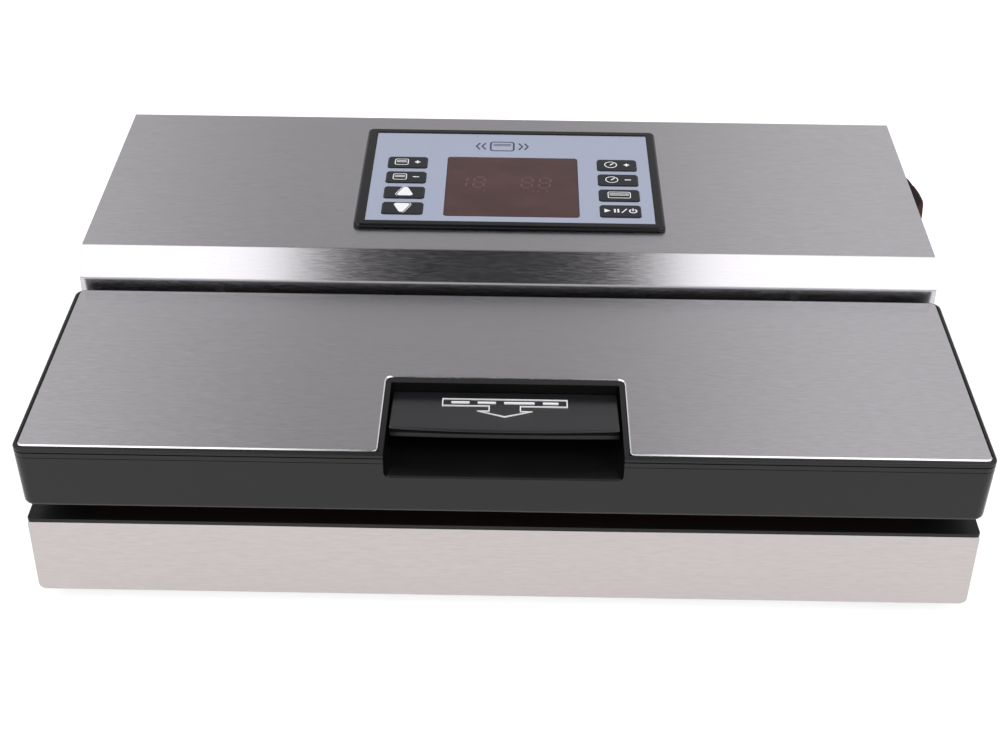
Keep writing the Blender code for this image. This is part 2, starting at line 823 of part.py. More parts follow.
def build_switch(machine):
    """Illuminated rocker switch in the right side panel."""
    outside = HALF_WIDTH + GAP
    wall = 0.0020
    housing = block(
        "switch_housing",
        (outside, SWITCH_Y[0], SWITCH_Z[0]),
        (outside + 0.0015, SWITCH_Y[1], SWITCH_Z[1]),
        machine,
        "black_abs",
        rounds=[("X", 0.0015, 2)],
    )
    body = block(
        "switch_body",
        (0.203, SWITCH_Y[0] + wall, SWITCH_Z[0] + wall),
        (outside + 0.001, SWITCH_Y[1] - wall, SWITCH_Z[1] - wall),
        machine,
    )
    inner = wall + 0.0010
    well = block(
        "switch_well",
        (0.2045, SWITCH_Y[0] + inner - 0.0002, SWITCH_Z[0] + inner),
        (0.230, SWITCH_Y[1] - inner + 0.0002, SWITCH_Z[1] - inner),
        machine,
    )
    cut(join(housing, body), well)

    axis = (ROCKER_AXIS[0], ROCKER_AXIS[1], (SWITCH_Z[0] + SWITCH_Z[1]) / 2)
    rocker_pivot = pivot("power_rocker_pivot", axis, machine)
    # (height over the side panel, y): a hump that is steep in front and gentle behind
    hump = [
        (0.0022, 0.2072),
        (0.0040, 0.2095),
        (0.0060, 0.2175),
        (0.0077, 0.2250),
        (SWITCH_PROUD, 0.2295),
        (0.0074, 0.2375),
        (0.0058, 0.2470),
        (0.0044, 0.2535),
        (0.0026, 0.2558),
    ]
    back = 0.2123
    outline = [(back, hump[0][1]), *((HALF_WIDTH + x, y) for x, y in hump), (back, hump[-1][1])]
    curve = bpy.data.curves.new("power_rocker", "CURVE")
    curve.dimensions = "2D"
    curve.fill_mode = "BOTH"
    curve.extrude = (SWITCH_Z[1] - SWITCH_Z[0]) / 2 - SWITCH_BORDER
    spline = curve.splines.new("POLY")
    spline.points.add(len(outline) - 1)
    for point, (x, y) in zip(spline.points, outline):
        point.co = (x - axis[0], y - axis[1], 0.0, 1.0)
    spline.use_cyclic_u = True
    add("power_rocker", curve, axis, rocker_pivot, "red_plastic")


# ---------------------------------------------------------------- control panel


def build_controls(machine):
    """Bezel tray, printed overlay, display window, display board and eight keys."""
    bezel = block(
        "control_bezel",
        (BEZEL_X[0], BEZEL_Y[0], HOUSING_TOP + GAP),
        (BEZEL_X[1], BEZEL_Y[1], BEZEL_TOP),
        machine,
        "black_abs",
        rounds=[("Z", 0.0035, 4), ("top", 0.0014, 3)],
    )
    skirt = block("bezel_skirt", (-0.073, 0.183, 0.0860), (0.073, 0.277, 0.0997), machine)
    seat = block(
        "bezel_seat",
        (OVERLAY_X[0] - GAP, OVERLAY_Y[0] - GAP, 0.0999),
        (OVERLAY_X[1] + GAP, OVERLAY_Y[1] + GAP, 0.105),
        machine,
        rounds=[("Z", 0.0007, 1)],
    )
    hollow = block("bezel_hollow", (-0.0716, 0.184, 0.080), (0.0716, 0.275, 0.105), machine)
    cut(join(bezel, skirt), seat, hollow)

    rows = [KEY_FRONT_ROW + step * KEY_PITCH for step in range(4)]
    places = [(x, y) for x in KEY_COLUMNS for y in rows]
    half_x, half_y = KEY_SIZE[0] / 2, KEY_SIZE[1] / 2
    overlay = block(
        "control_overlay",
        (OVERLAY_X[0], OVERLAY_Y[0], OVERLAY_Z[0]),
        (OVERLAY_X[1], OVERLAY_Y[1], OVERLAY_Z[1]),
        machine,
        "overlay_film",
        rounds=[("Z", 0.0004, 1)],
    )
    holes = [
        (
            (x - half_x - GAP, y - half_y - GAP, 0.095),
            (x + half_x + GAP, y + half_y + GAP, 0.105),
        )
        for x, y in places
    ]
    window_hole = (
        (WINDOW_X[0] - GAP, WINDOW_Y[0] - GAP, 0.095),
        (WINDOW_X[1] + GAP, WINDOW_Y[1] + GAP, 0.105),
    )
    cut(
        overlay,
        block_cutter("overlay_key_holes", holes, machine, rounds=[("Z", 0.0018, 2)]),
        block_cutter("overlay_window_hole", [window_hole], machine, rounds=[("Z", 0.0010, 1)]),
    )

    window = block(
        "display_window",
        (WINDOW_X[0], WINDOW_Y[0], 0.0995),
        (WINDOW_X[1], WINDOW_Y[1], OVERLAY_Z[1]),
        machine,
        "window_film",
        rounds=[("Z", 0.0008, 1)],
    )
    lip = block(
        "window_lip",
        (WINDOW_X[0] - 0.0018, 0.1845, 0.0989),
        (WINDOW_X[1] + 0.0018, WINDOW_Y[1] + 0.0018, 0.0999),
        machine,
    )
    join(window, lip)
    block("display_module", (-0.028, 0.197, 0.0883), (0.031, 0.238, 0.0985), machine, "gloss_black")

    board = block(
        "display_pcb",
        (-0.0705, 0.1843, 0.0864),
        (0.0705, 0.2747, 0.0880),
        machine,
        "circuit_board",
    )
    switches = [((x - 0.003, y - 0.003, 0.0875), (x + 0.003, y + 0.003, 0.0930)) for x, y in places]
    join(board, block_cutter("tactile_switches", switches, machine))

    build_keys(machine, rows)


def build_keys(machine, rows):
    """Each key has a cap through the overlay, a flange under it and a stem on its switch."""
    half_x, half_y = KEY_SIZE[0] / 2, KEY_SIZE[1] / 2
    names = ("minor_down", "minor_up", "minus", "plus")
    sides = ("left", "right")
    for side, x in zip(sides, KEY_COLUMNS):
        for name, y in zip(names, rows):
            key_pivot = pivot(f"key_{side}_{name}_pivot", (x, y, KEY_TOP), machine)
            key = block(
                f"key_{side}_{name}",
                (x - half_x, y - half_y, 0.0995),
                (x + half_x, y + half_y, KEY_TOP),
                key_pivot,
                "key_black",
                rounds=[("Z", 0.0015, 2)],
            )
            flange = block(
                f"key_{side}_{name}_flange",
                (x - half_x - KEY_FLANGE, y - half_y - KEY_FLANGE, 0.0987),
                (x + half_x + KEY_FLANGE, y + half_y + KEY_FLANGE, 0.0999),
                key_pivot,
            )
            stem = cylinder(
                f"key_{side}_{name}_stem", (x, y, 0.0965), 0.0020, 0.0050, "Z", key_pivot, segments=10
            )
            join(key, flange, stem)


# ---------------------------------------------------------------- inside the housing


def build_fan(machine):
    """Cooling fan behind the rear grille."""
    half = 0.025
    frame = block(
        "fan_frame",
        (FAN_X - half, 0.2890, FAN_Z - half),
        (FAN_X + half, 0.3025, FAN_Z + half),
        machine,
        "black_abs",
        rounds=[("Y", 0.003, 2)],
    )
    duct = cylinder("fan_duct", (FAN_X, 0.296, FAN_Z), FAN_RADIUS, 0.030, "Y", machine)
    cut(frame, duct)
    reach, thin = half - 0.001, 0.0012
    spokes = [
        ((FAN_X - thin, 0.2890, FAN_Z - reach), (FAN_X + thin, 0.2905, FAN_Z + reach)),
        ((FAN_X - reach, 0.2892, FAN_Z - thin), (FAN_X + reach, 0.2903, FAN_Z + thin)),
    ]
    hub_plate = cylinder("fan_hub_plate", (FAN_X, 0.28975, FAN_Z), 0.0090, 0.0013, "Y", machine)
    for index, spoke in enumerate(spokes):
        join(frame, block_cutter(f"fan_spoke_{index}", [spoke], machine))
    join(frame, hub_plate)

    hub_pivot = pivot("fan_pivot", (FAN_X, 0.2965, FAN_Z), machine)
    impeller = cylinder(
        "fan_impeller", (FAN_X, 0.2965, FAN_Z), 0.0090, 0.0090, "Y", hub_pivot, "gloss_black"
    )
    data = bpy.data.meshes.new("fan_blades")
    mesh = bmesh.new()
    blades = 7
    for blade in range(blades):
        around = Matrix.Rotation(2 * math.pi * blade / blades, 4, "Y")
        outwards = Matrix.Translation((0.0, 0.0, 0.0145))
        pitch = Matrix.Rotation(math.radians(38), 4, "Z")
        size = Matrix.Diagonal((0.0090, 0.0010, 0.0130, 1.0))
        bmesh.ops.create_cube(mesh, size=1.0, matrix=around @ outwards @ pitch @ size)
    mesh.to_mesh(data)
    mesh.free()
    join(impeller, add("fan_blades", data, (FAN_X, 0.2965, FAN_Z), hub_pivot))


def build_transformer(machine):
    """Laminated core with two windows, and the winding round its middle leg."""
    core = block(
        "transformer_core", (-0.195, 0.218, 0.0018), (-0.135, 0.253, 0.0518), machine, "core_steel"
    )
    windows = [
        ((-0.185, 0.210, 0.012), (-0.175, 0.260, 0.042)),
        ((-0.155, 0.210, 0.012), (-0.145, 0.260, 0.042)),
    ]
    cut(core, block_cutter("core_windows", windows, machine))
    coil = block(
        "transformer_coil",
        (-0.1847, 0.209, 0.0123),
        (-0.1453, 0.262, 0.0417),
        machine,
        "copper",
        rounds=[("Z", 0.003, 2)],
    )
    cut(coil, block("coil_hole", (-0.1753, 0.2177, 0.005), (-0.1547, 0.2533, 0.050), machine))


def build_pump(machine):
    """Diaphragm pump: motor, head with the crank chamber, and the crank that turns in it."""
    motor = cylinder("pump_motor", (0.1248, PUMP_Y, PUMP_Z), 0.024, 0.0596, "X", machine, "steel")
    bore = cylinder(
        "motor_bore", (0.150, PUMP_Y, PUMP_Z), 0.0034, 0.030, "X", machine, segments=12
    )
    cut(motor, bore)
    head = block(
        "pump_head",
        (0.155, 0.200, 0.0040),
        (0.185, 0.250, 0.0560),
        machine,
        "black_abs",
        rounds=[("X", 0.004, 2)],
    )
    chamber = cylinder("crank_chamber", (0.166, PUMP_Y, PUMP_Z), 0.016, 0.030, "X", machine)
    intake = cylinder("pump_intake", (0.170, 0.200, 0.0078), 0.0020, 0.012, "Y", machine, segments=10)
    cut(head, chamber, intake)

    crank_pivot = pivot("pump_crank_pivot", (0.156, PUMP_Y, PUMP_Z), machine)
    crank = cylinder(
        "pump_crank", (0.158, PUMP_Y, PUMP_Z), 0.0030, 0.036, "X", crank_pivot, "steel", segments=12
    )
    eccentric = cylinder(
        "pump_eccentric", (0.168, PUMP_Y, PUMP_Z + 0.003), 0.009, 0.010, "X", crank_pivot
    )
    join(crank, eccentric)


def build_valve_and_hose(machine):
    """Solenoid valve that lets air back in, and the hose from the channel to the pump."""
    body = block(
        "valve_body",
        (VALVE_X - 0.009, VALVE_Y - 0.009, 0.0018),
        (VALVE_X + 0.009, VALVE_Y + 0.009, 0.0280),
        machine,
        "steel",
    )
    bore = cylinder(
        "valve_bore", (VALVE_X, VALVE_Y, 0.0210), 0.0033, 0.020, "Z", machine, segments=12
    )
    cut(body, bore)
    plunger_pivot = pivot("valve_plunger_pivot", (VALVE_X, VALVE_Y, 0.0215), machine)
    cylinder(
        "valve_plunger",
        (VALVE_X, VALVE_Y, 0.0215),
        0.0030,
        0.019,
        "Z",
        plunger_pivot,
        "aluminium",
        segments=12,
    )

    bend = 0.0050
    hose_z = 0.0078
    port_end = 0.0140
    start = [(PORT_X, PORT_Y, port_end - GAP)]
    for y, z in arc_points((PORT_Y + bend, hose_z + bend), bend, 180, 270, 5):
        start.append((PORT_X, y, z))
    end_x, end_y = 0.170, 0.1997
    run = []
    for step in range(1, 13):
        share = step / 12
        ease = share * share * (3 - 2 * share)
        run.append(
            (
                PORT_X + (end_x - PORT_X) * ease,
                PORT_Y + bend + (end_y - PORT_Y - bend) * share,
                hose_z,
            )
        )
    wire("vacuum_hose", start + run, 0.0035, machine, "hose_silicone")


def build_electronics(machine):
    """Main board on standoffs with a relay and a capacitor, and the lid sensor."""
    board = block("main_pcb", (-0.110, 0.180, 0.0090), (0.060, 0.285, 0.0106), machine, "circuit_board")
    standoffs = []
    for x in (-0.104, 0.054):
        for y in (0.186, 0.279):
            standoffs.append(((x - 0.003, y - 0.003, 0.0018), (x + 0.003, y + 0.003, 0.0095)))
    join(board, block_cutter("pcb_standoffs", standoffs, machine))
    block("relay", (-0.090, 0.200, 0.0109), (-0.062, 0.213, 0.0270), machine, "part_blue")
    cylinder("capacitor", (-0.030, 0.240, 0.0234), 0.009, 0.025, "Z", machine, "gloss_black", segments=20)
    block(
        "lid_sensor",
        (MAGNET_X - 0.0045, MAGNET_Y - 0.006, 0.0340),
        (MAGNET_X + 0.0045, MAGNET_Y + 0.006, 0.0382),
        machine,
        "gloss_black",
    )


def main():
    clear_scene()
    make_collection(COLLECTION)
    make_collection(CUTTER_COLLECTION)

    middle_y = (HOUSING_REAR + LID_FRONT_AT_REST) / 2
    machine = pivot("machine_frame", (0.0, 0.0, 0.0))
    middle_x = (HALF_WIDTH + SWITCH_PROUD - LID_HALF_TOP) / 2
    machine.location = (-middle_x, -middle_y, FOOT_HEIGHT)

    build_chassis(machine)
    build_deck(machine)
    lid = pivot("lid_pivot", (0.0, HINGE_Y, HINGE_Z), machine, turn_x=-LID_AJAR)
    build_lid_frame(lid)
    build_lid_trim(lid)
    build_lid_liner(lid)
    build_hinges(machine, lid)
    build_housing(machine)
    build_inlet(machine)
    build_switch(machine)
    build_controls(machine)
    build_fan(machine)
    build_transformer(machine)
    build_pump(machine)
    build_valve_and_hose(machine)
    build_electronics(machine)


main()
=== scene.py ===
"""The looks of a countertop vacuum sealer: shells with soft edges, printed symbols, procedural
materials, soft studio light and a camera in front of the machine and above it."""

import json
import math

import bmesh
import bpy
from mathutils import Matrix, Vector


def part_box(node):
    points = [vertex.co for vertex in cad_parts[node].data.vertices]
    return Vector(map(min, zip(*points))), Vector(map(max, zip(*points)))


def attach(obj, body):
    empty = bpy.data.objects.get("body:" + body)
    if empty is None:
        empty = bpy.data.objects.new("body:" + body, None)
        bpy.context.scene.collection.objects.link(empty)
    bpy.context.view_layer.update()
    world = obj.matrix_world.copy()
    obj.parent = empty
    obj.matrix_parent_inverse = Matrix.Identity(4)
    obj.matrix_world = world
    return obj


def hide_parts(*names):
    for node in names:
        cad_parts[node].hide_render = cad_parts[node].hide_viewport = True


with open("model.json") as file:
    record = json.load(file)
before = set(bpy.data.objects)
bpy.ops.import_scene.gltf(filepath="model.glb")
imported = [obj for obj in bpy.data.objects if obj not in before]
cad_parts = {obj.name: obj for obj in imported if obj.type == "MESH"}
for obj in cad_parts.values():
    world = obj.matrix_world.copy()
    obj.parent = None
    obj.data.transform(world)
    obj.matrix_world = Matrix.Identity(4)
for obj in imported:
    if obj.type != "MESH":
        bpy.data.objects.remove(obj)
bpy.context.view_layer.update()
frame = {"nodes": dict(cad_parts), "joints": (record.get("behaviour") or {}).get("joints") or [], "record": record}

MM = 0.001
CLEAR = 0.3  # gap around a part that sits in a hole or seat, in millimetres
KEY_FLANGE = 0.8  # how far a key's flange reaches past its cap
PRINT = 0.04  # thickness of flat printing
HINGE_X = 150.0  # middle of each hinge, left and right
HINGE_Y, HINGE_Z = 126.0, 73.0  # axis of the hinge pins
WAVE_SCALE = 3.14 / 20.0  # turns a band's width into a wave texture's scale

# The machine frame: x from the middle of the body, y from the face of the front panel and z from
# its lower edge. Everything below is modelled in it, in millimetres.
front_low, front_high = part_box("front_panel")
MACHINE = Matrix.Translation(
    ((front_low[0] + front_high[0]) / 2, front_low[1], front_low[2])
)
LID_JOINT = next(joint for joint in frame["joints"] if joint["name"] == "lid_hinge")
HINGE = Matrix.Translation(LID_JOINT["pos_m"])
AJAR = math.radians(LID_JOINT["range_deg"][0])
LID_TILT = HINGE @ Matrix.Rotation(AJAR, 4, "X") @ HINGE.inverted()
LID_NODES = set(frame["record"]["behaviour"]["bodies"]["lid"])


def place_of(body):
    """From the machine frame to the world; lid pieces are modelled level and then set ajar."""
    return LID_TILT @ MACHINE if body == "lid" else MACHINE


def box_of(node):
    """Lowest and highest corner of a CAD node, in millimetres, in the frame it is modelled in."""
    back = place_of("lid" if node in LID_NODES else "base").inverted()
    corners = [back @ vertex.co / MM for vertex in frame["nodes"][node].data.vertices]
    low = Vector([min(corner[axis] for corner in corners) for axis in range(3)])
    high = Vector([max(corner[axis] for corner in corners) for axis in range(3)])
    return low, high


# ------------ modelling


def new_object(name, data):
    item = bpy.data.objects.new(name, data)
    bpy.context.scene.collection.objects.link(item)
    return item


def round_group(mesh, where):
    """Edges along X, Y or Z, the lower or upper ones of those, or the rim of the top or bottom."""
    heights = [vertex.co.z for vertex in mesh.verts]
    ends = {"top": max(heights), "bottom": min(heights)}
    if where in ends:
        level = ends[where]
        return [e for e in mesh.edges if all(abs(v.co.z - level) < 1e-7 for v in e.verts)]
    axis = "XYZ".index(where[0])
    middle = (ends["top"] + ends["bottom"]) / 2
    found = []
    for edge in mesh.edges:
        direction = (edge.verts[0].co - edge.verts[1].co).normalized()
        height = (edge.verts[0].co.z + edge.verts[1].co.z) / 2
        if abs(direction[axis]) < 0.999:
            continue
        if where.endswith("low") and height > middle or where.endswith("high") and height < middle:
            continue
        found.append(edge)
    return found


def slab(low, high, rounds=(), taper=1.0):
    """A closed box between two corners in millimetres. rounds lists (edges, radius, segments)."""
    low, high = Vector(low) * MM, Vector(high) * MM
    mesh = bmesh.new()
    place = Matrix.Translation((low + high) / 2) @ Matrix.Diagonal((*(high - low), 1.0))
    bmesh.ops.create_cube(mesh, size=1.0, matrix=place)
    for where, radius, segments in rounds:
        bmesh.ops.bevel(
            mesh,
            geom=round_group(mesh, where),
            offset=radius * MM,
            segments=segments,
            profile=0.5,
            affect="EDGES",
        )
    if taper != 1.0:
        middle = (low.z + high.z) / 2
        for vertex in mesh.verts:
            share = min(1.0, max(0.0, (middle - vertex.co.z) / (middle - low.z)))
            vertex.co.x *= 1 + (taper - 1) * share
    return mesh_object("slab", mesh)


def around(low, high, gap, bottom, top):
    """Corners of a box wider than another by a gap on each side, from one height to another."""
    return (low.x - gap, low.y - gap, bottom), (high.x + gap, high.y + gap, top)


def mesh_object(name, mesh):
    data = bpy.data.meshes.new(name)
    mesh.to_mesh(data)
    mesh.free()
    return new_object(name, data)


AXIS_TURN = {
    "X": Matrix.Rotation(math.pi / 2, 4, "Y"),
    "Y": Matrix.Rotation(-math.pi / 2, 4, "X"),
    "Z": Matrix.Identity(4),
}


def rod(centre, radius, length, axis="Z", segments=48, end_radius=None):
    """A closed cylinder or cone in millimetres."""
    mesh = bmesh.new()
    bmesh.ops.create_cone(
        mesh,
        cap_ends=True,
        segments=segments,
        radius1=radius * MM,
        radius2=(radius if end_radius is None else end_radius) * MM,
        depth=length * MM,
        matrix=Matrix.Translation(Vector(centre) * MM) @ AXIS_TURN[axis],
    )
    return mesh_object("rod", mesh)


def sweep_x(outline, half_length):
    """A closed outline of (y, z) in millimetres, drawn out along X."""
    mesh = bmesh.new()
    face = mesh.faces.new([mesh.verts.new((-half_length, y, z)) for y, z in outline])
    drawn = bmesh.ops.extrude_face_region(mesh, geom=[face])["geom"]
    moved = [item for item in drawn if isinstance(item, bmesh.types.BMVert)]
    bmesh.ops.translate(mesh, verts=moved, vec=(2 * half_length, 0, 0))
    bmesh.ops.scale(mesh, vec=(MM, MM, MM), verts=mesh.verts)
    bmesh.ops.recalc_face_normals(mesh, faces=mesh.faces)
    return mesh_object("sweep", mesh)


def evaluated(item):
    """The object's mesh with its modifiers applied."""
    graph = bpy.context.evaluated_depsgraph_get()
    return bpy.data.meshes.new_from_object(item.evaluated_get(graph))


def bake_down(item):
    data = evaluated(item)
    item.modifiers.clear()
    item.data = data
    return item


def carve(item, *tools, operation="DIFFERENCE"):
    """Cuts the tools out of the object, or joins them to it, and removes them."""
    for tool in tools:
        step = item.modifiers.new("cut", "BOOLEAN")
        step.operation = operation
        step.solver = "EXACT"
        step.object = tool
    bake_down(item)
    for tool in tools:
        bpy.data.objects.remove(tool)
    return item


def fuse(item, *tools):
    return carve(item, *tools, operation="UNION")


def edge_finish(item, width, segments=2, angle=30.0, edge_slot=0):
    """Rounds what is still sharp, and keeps the flats flat when shaded."""
    weld = item.modifiers.new("weld", "WELD")
    weld.merge_threshold = 0.000002
    flat = item.modifiers.new("flat", "DECIMATE")
    flat.decimate_type = "DISSOLVE"
    flat.angle_limit = math.radians(0.3)
    soft = item.modifiers.new("edge", "BEVEL")
    soft.width = width * MM
    soft.segments = segments
    soft.limit_method = "ANGLE"
    soft.angle_limit = math.radians(angle)
    soft.harden_normals = True
    soft.use_clamp_overlap = True
    soft.material = edge_slot
    return item


def piece(item, name, body, slot, material, stands_for=(), edge=0.0, segments=2, bright=None):
    """Finishes an object modelled in the machine frame and rides it on a body."""
    item.data.materials.clear()
    item.data.materials.append(material)
    if bright:
        item.data.materials.append(bright)
    if edge:
        edge_finish(item, edge, segments, edge_slot=1 if bright else 0)
        bake_down(item)
    item.data.transform(place_of(body))
    smooth(item)
    item.name = item.data.name = name
    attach(item, body)
    if stands_for:
        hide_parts(*stands_for)
    return item


def smooth(item, angle=35.0):
    """Smooth shading that keeps the flats flat and the hard edges hard."""
    item.data.shade_smooth()
    item.data.set_sharp_from_angle(angle=math.radians(angle))
    normals = item.modifiers.new("normals", "WEIGHTED_NORMAL")
    normals.keep_sharp = True


# ------------ materials


def add_node(tree, kind, inputs=None, **settings):
    """A new shader node. Each input is a value or the socket that feeds it."""
    made = tree.nodes.new(f"ShaderNode{kind}")
    for key, value in settings.items():
        setattr(made, key, value)
    for key, value in (inputs or {}).items():
        if isinstance(value, bpy.types.NodeSocket):
            tree.links.new(value, made.inputs[key])
        else:
            made.inputs[key].default_value = value
    return made


class Paint:
    """A material and short ways to add nodes to it."""

    def __init__(self, name):
        self.material = bpy.data.materials.new(name)
        self.material.use_nodes = True
        self.tree = self.material.node_tree
        self.shader = self.tree.nodes["Principled BSDF"]

    def node(self, kind, inputs=None, **settings):
        return add_node(self.tree, kind, inputs, **settings)

    def where(self, scale=(1, 1, 1)):
        coordinates = self.node("TexCoord").outputs["Object"]
        return self.node("Mapping", {"Vector": coordinates, "Scale": scale}).outputs["Vector"]

    def noise(self, vector, detail=2.0, roughness=0.5):
        inputs = {"Vector": vector, "Scale": 1.0, "Detail": detail, "Roughness": roughness}
        return self.node("TexNoise", inputs).outputs["Fac"]

    def span(self, value, low, high, source=(0.0, 1.0)):
        inputs = {0: value, 1: source[0], 2: source[1], 3: low, 4: high}
        return self.node("MapRange", inputs).outputs[0]

    def mix(self, factor, *colours):
        sockets = bpy.types.NodeSocket
        first, second = (c if isinstance(c, sockets) else (*c, 1.0) for c in colours)
        return self.node("Mix", {0: factor, 6: first, 7: second}, data_type="RGBA").outputs[2]

    def tones(self, value, colour, darker, lighter, source=(0.3, 0.7)):
        """The colour from a darker to a lighter tone of it, as a texture's value rises."""
        share = self.span(value, 0.0, 1.0, source)
        return self.mix(share, shade(colour, darker), shade(colour, lighter))

    def math(self, operation, first, second):
        return self.node("Math", {0: first, 1: second}, operation=operation).outputs[0]

    def bump(self, height, strength, distance_mm):
        inputs = {"Height": height, "Strength": strength, "Distance": distance_mm * MM}
        return self.node("Bump", inputs).outputs["Normal"]

    def set(self, **values):
        for key, value in values.items():
            socket = self.shader.inputs[key.replace("_", " ")]
            if isinstance(value, bpy.types.NodeSocket):
                self.tree.links.new(value, socket)
            elif socket.type == "RGBA":
                socket.default_value = (*value, 1.0)
            else:
                socket.default_value = value
        return self


def shade(colour, factor):
    return tuple(min(1.0, channel * factor) for channel in colour)


def brushed(name, colour, along="X", roughness=0.185, anisotropy=0.95, contrast=1.0):
    """Sheet metal with fine hairlines along one axis."""
    paint = Paint(name)
    long_way, cross_way = 150.0, 2100.0
    scale = [cross_way] * 3
    scale["XYZ".index(along)] = long_way
    hairs = paint.noise(paint.where(scale), detail=3.0, roughness=0.62)
    fine = paint.noise(paint.where([value * 2.6 for value in scale]), detail=2.0)
    cloud = paint.noise(paint.where((9, 9, 9)), detail=2.0)
    coarse_share, fine_share = 0.65, 0.35
    coarse = paint.math("MULTIPLY", hairs, coarse_share)
    both = paint.math("ADD", coarse, paint.math("MULTIPLY", fine, fine_share))
    base = paint.tones(both, colour, 1 - 0.15 * contrast, 1 + 0.12 * contrast)
    base = paint.mix(paint.span(cloud, 0.0, 0.35), base, shade(colour, 0.93))
    axis = {letter: float(letter == along) for letter in "XYZ"}
    tangent = paint.node("CombineXYZ", axis).outputs[0]
    paint.set(
        Base_Color=base,
        Metallic=1.0,
        Roughness=paint.span(both, roughness - 0.05, roughness + 0.06, (0.3, 0.7)),
        Anisotropic=anisotropy,
        Anisotropic_Rotation=0.25,
        Tangent=tangent,
        Normal=paint.bump(both, 0.16 * contrast, 0.010),
    )
    return paint.material


def moulded(name, colour, roughness=0.4, grain=0.10, grain_mm=0.35, specular=0.5, wear=0.0):
    """Moulded plastic with a fine spark-eroded grain and a faint cloudiness."""
    paint = Paint(name)
    per_metre = 1000.0 / grain_mm
    texture = paint.noise(paint.where((per_metre,) * 3), detail=2.0, roughness=0.6)
    cloud = paint.noise(paint.where((14, 14, 14)), detail=3.0)
    base = paint.tones(cloud, colour, 0.88, 1.14)
    if wear:
        scuffs = paint.noise(paint.where((60, 420, 420)), detail=4.0, roughness=0.7)
        base = paint.mix(paint.span(scuffs, 0.0, wear, (0.62, 0.75)), base, (0.18, 0.18, 0.19))
    paint.set(
        Base_Color=base,
        Roughness=paint.span(cloud, roughness - 0.04, roughness + 0.05, (0.3, 0.7)),
        Specular_IOR_Level=specular,
        Normal=paint.bump(texture, grain, 0.03),
    )
    return paint.material


def foam(name, colour):
    """Closed-cell foam: small round pits."""
    paint = Paint(name)
    cells = paint.node("TexVoronoi", {"Vector": paint.where(), "Scale": 1500.0})
    pits = paint.span(cells.outputs["Distance"], 0.0, 1.0, (0.1, 0.6))
    paint.set(
        Base_Color=paint.mix(pits, shade(colour, 0.6), shade(colour, 1.25)),
        Roughness=0.92,
        Normal=paint.bump(pits, 0.6, 0.12),
    )
    return paint.material


def woven(name, colour, thread_mm=0.45):
    """Coated glass cloth: threads crossing at right angles under a thin coat."""
    paint = Paint(name)
    scale = 1000.0 / thread_mm * WAVE_SCALE * 5.0 / math.pi
    waves = []
    for direction in ("X", "Y"):
        inputs = {"Vector": paint.where(), "Scale": scale, "Distortion": 0.4}
        waves.append(paint.node("TexWave", inputs, bands_direction=direction).outputs["Fac"])
    weave = paint.math("MAXIMUM", waves[0], waves[1])
    stain = paint.noise(paint.where((40, 40, 40)), detail=3.0)
    base = paint.mix(weave, shade(colour, 0.7), shade(colour, 1.15))
    base = paint.mix(paint.span(stain, 0.0, 0.5, (0.45, 0.75)), base, shade(colour, 0.55))
    paint.set(Base_Color=base, Roughness=0.42, Normal=paint.bump(weave, 0.5, 0.05))
    return paint.material


def plated(name, colour, roughness=0.32):
    """Zinc-plated or machined metal with a cloudy tone and fine marks."""
    paint = Paint(name)
    cloud = paint.noise(paint.where((120, 120, 120)), detail=4.0, roughness=0.6)
    marks = paint.noise(paint.where((90, 2400, 2400)), detail=2.0)
    paint.set(
        Base_Color=paint.tones(cloud, colour, 0.84, 1.1, (0.35, 0.65)),
        Metallic=1.0,
        Roughness=paint.span(cloud, roughness - 0.08, roughness + 0.1, (0.35, 0.65)),
        Normal=paint.bump(marks, 0.12, 0.02),
    )
    return paint.material


def laminated(name, colour, along="Y", pitch_mm=0.5):
    """Thin bands side by side, such as core laminations or a winding."""
    paint = Paint(name)
    scale = 1000.0 / pitch_mm * WAVE_SCALE
    inputs = {"Vector": paint.where(), "Scale": scale, "Distortion": 0.2}
    bands = paint.node("TexWave", inputs, bands_direction=along).outputs["Fac"]
    cloud = paint.noise(paint.where((200, 200, 200)), detail=2.0)
    base = paint.mix(bands, shade(colour, 0.55), shade(colour, 1.15))
    paint.set(
        Base_Color=paint.mix(paint.span(cloud, 0.0, 0.4), base, shade(colour, 0.8)),
        Metallic=0.9,
        Roughness=0.4,
        Normal=paint.bump(bands, 0.5, 0.1),
    )
    return paint.material


def circuit(name):
    """Green solder mask with paler tracks."""
    paint = Paint(name)
    tracks = paint.node(
        "TexBrick",
        {
            "Vector": paint.where(),
            "Scale": 90.0,
            "Mortar Size": 0.03,
            "Color1": (0.012, 0.085, 0.035, 1.0),
            "Color2": (0.016, 0.105, 0.045, 1.0),
            "Mortar": (0.05, 0.22, 0.09, 1.0),
        },
    ).outputs["Color"]
    speck = paint.noise(paint.where((700, 700, 700)), detail=2.0)
    paint.set(
        Base_Color=paint.mix(paint.span(speck, 0.0, 0.3, (0.55, 0.7)), tracks, (0.4, 0.4, 0.36)),
        Roughness=0.38,
        Normal=paint.bump(speck, 0.15, 0.05),
    )
    return paint.material


def printed_film(name, colour):
    """Silver-blue printed film: a faint metallic fleck and a satin coat."""
    paint = Paint(name)
    fleck = paint.noise(paint.where((4200, 4200, 4200)), detail=1.0)
    cloud = paint.noise(paint.where((11, 11, 11)), detail=2.0)
    base = paint.tones(fleck, colour, 0.93, 1.06, (0.35, 0.65))
    base = paint.mix(paint.span(cloud, 0.0, 0.35), base, shade(colour, 0.92))
    paint.set(
        Base_Color=base,
        Metallic=0.25,
        Roughness=paint.span(fleck, 0.30, 0.38),
        Coat_Weight=0.15,
        Coat_Roughness=0.25,
        Normal=paint.bump(fleck, 0.05, 0.01),
    )
    return paint.material


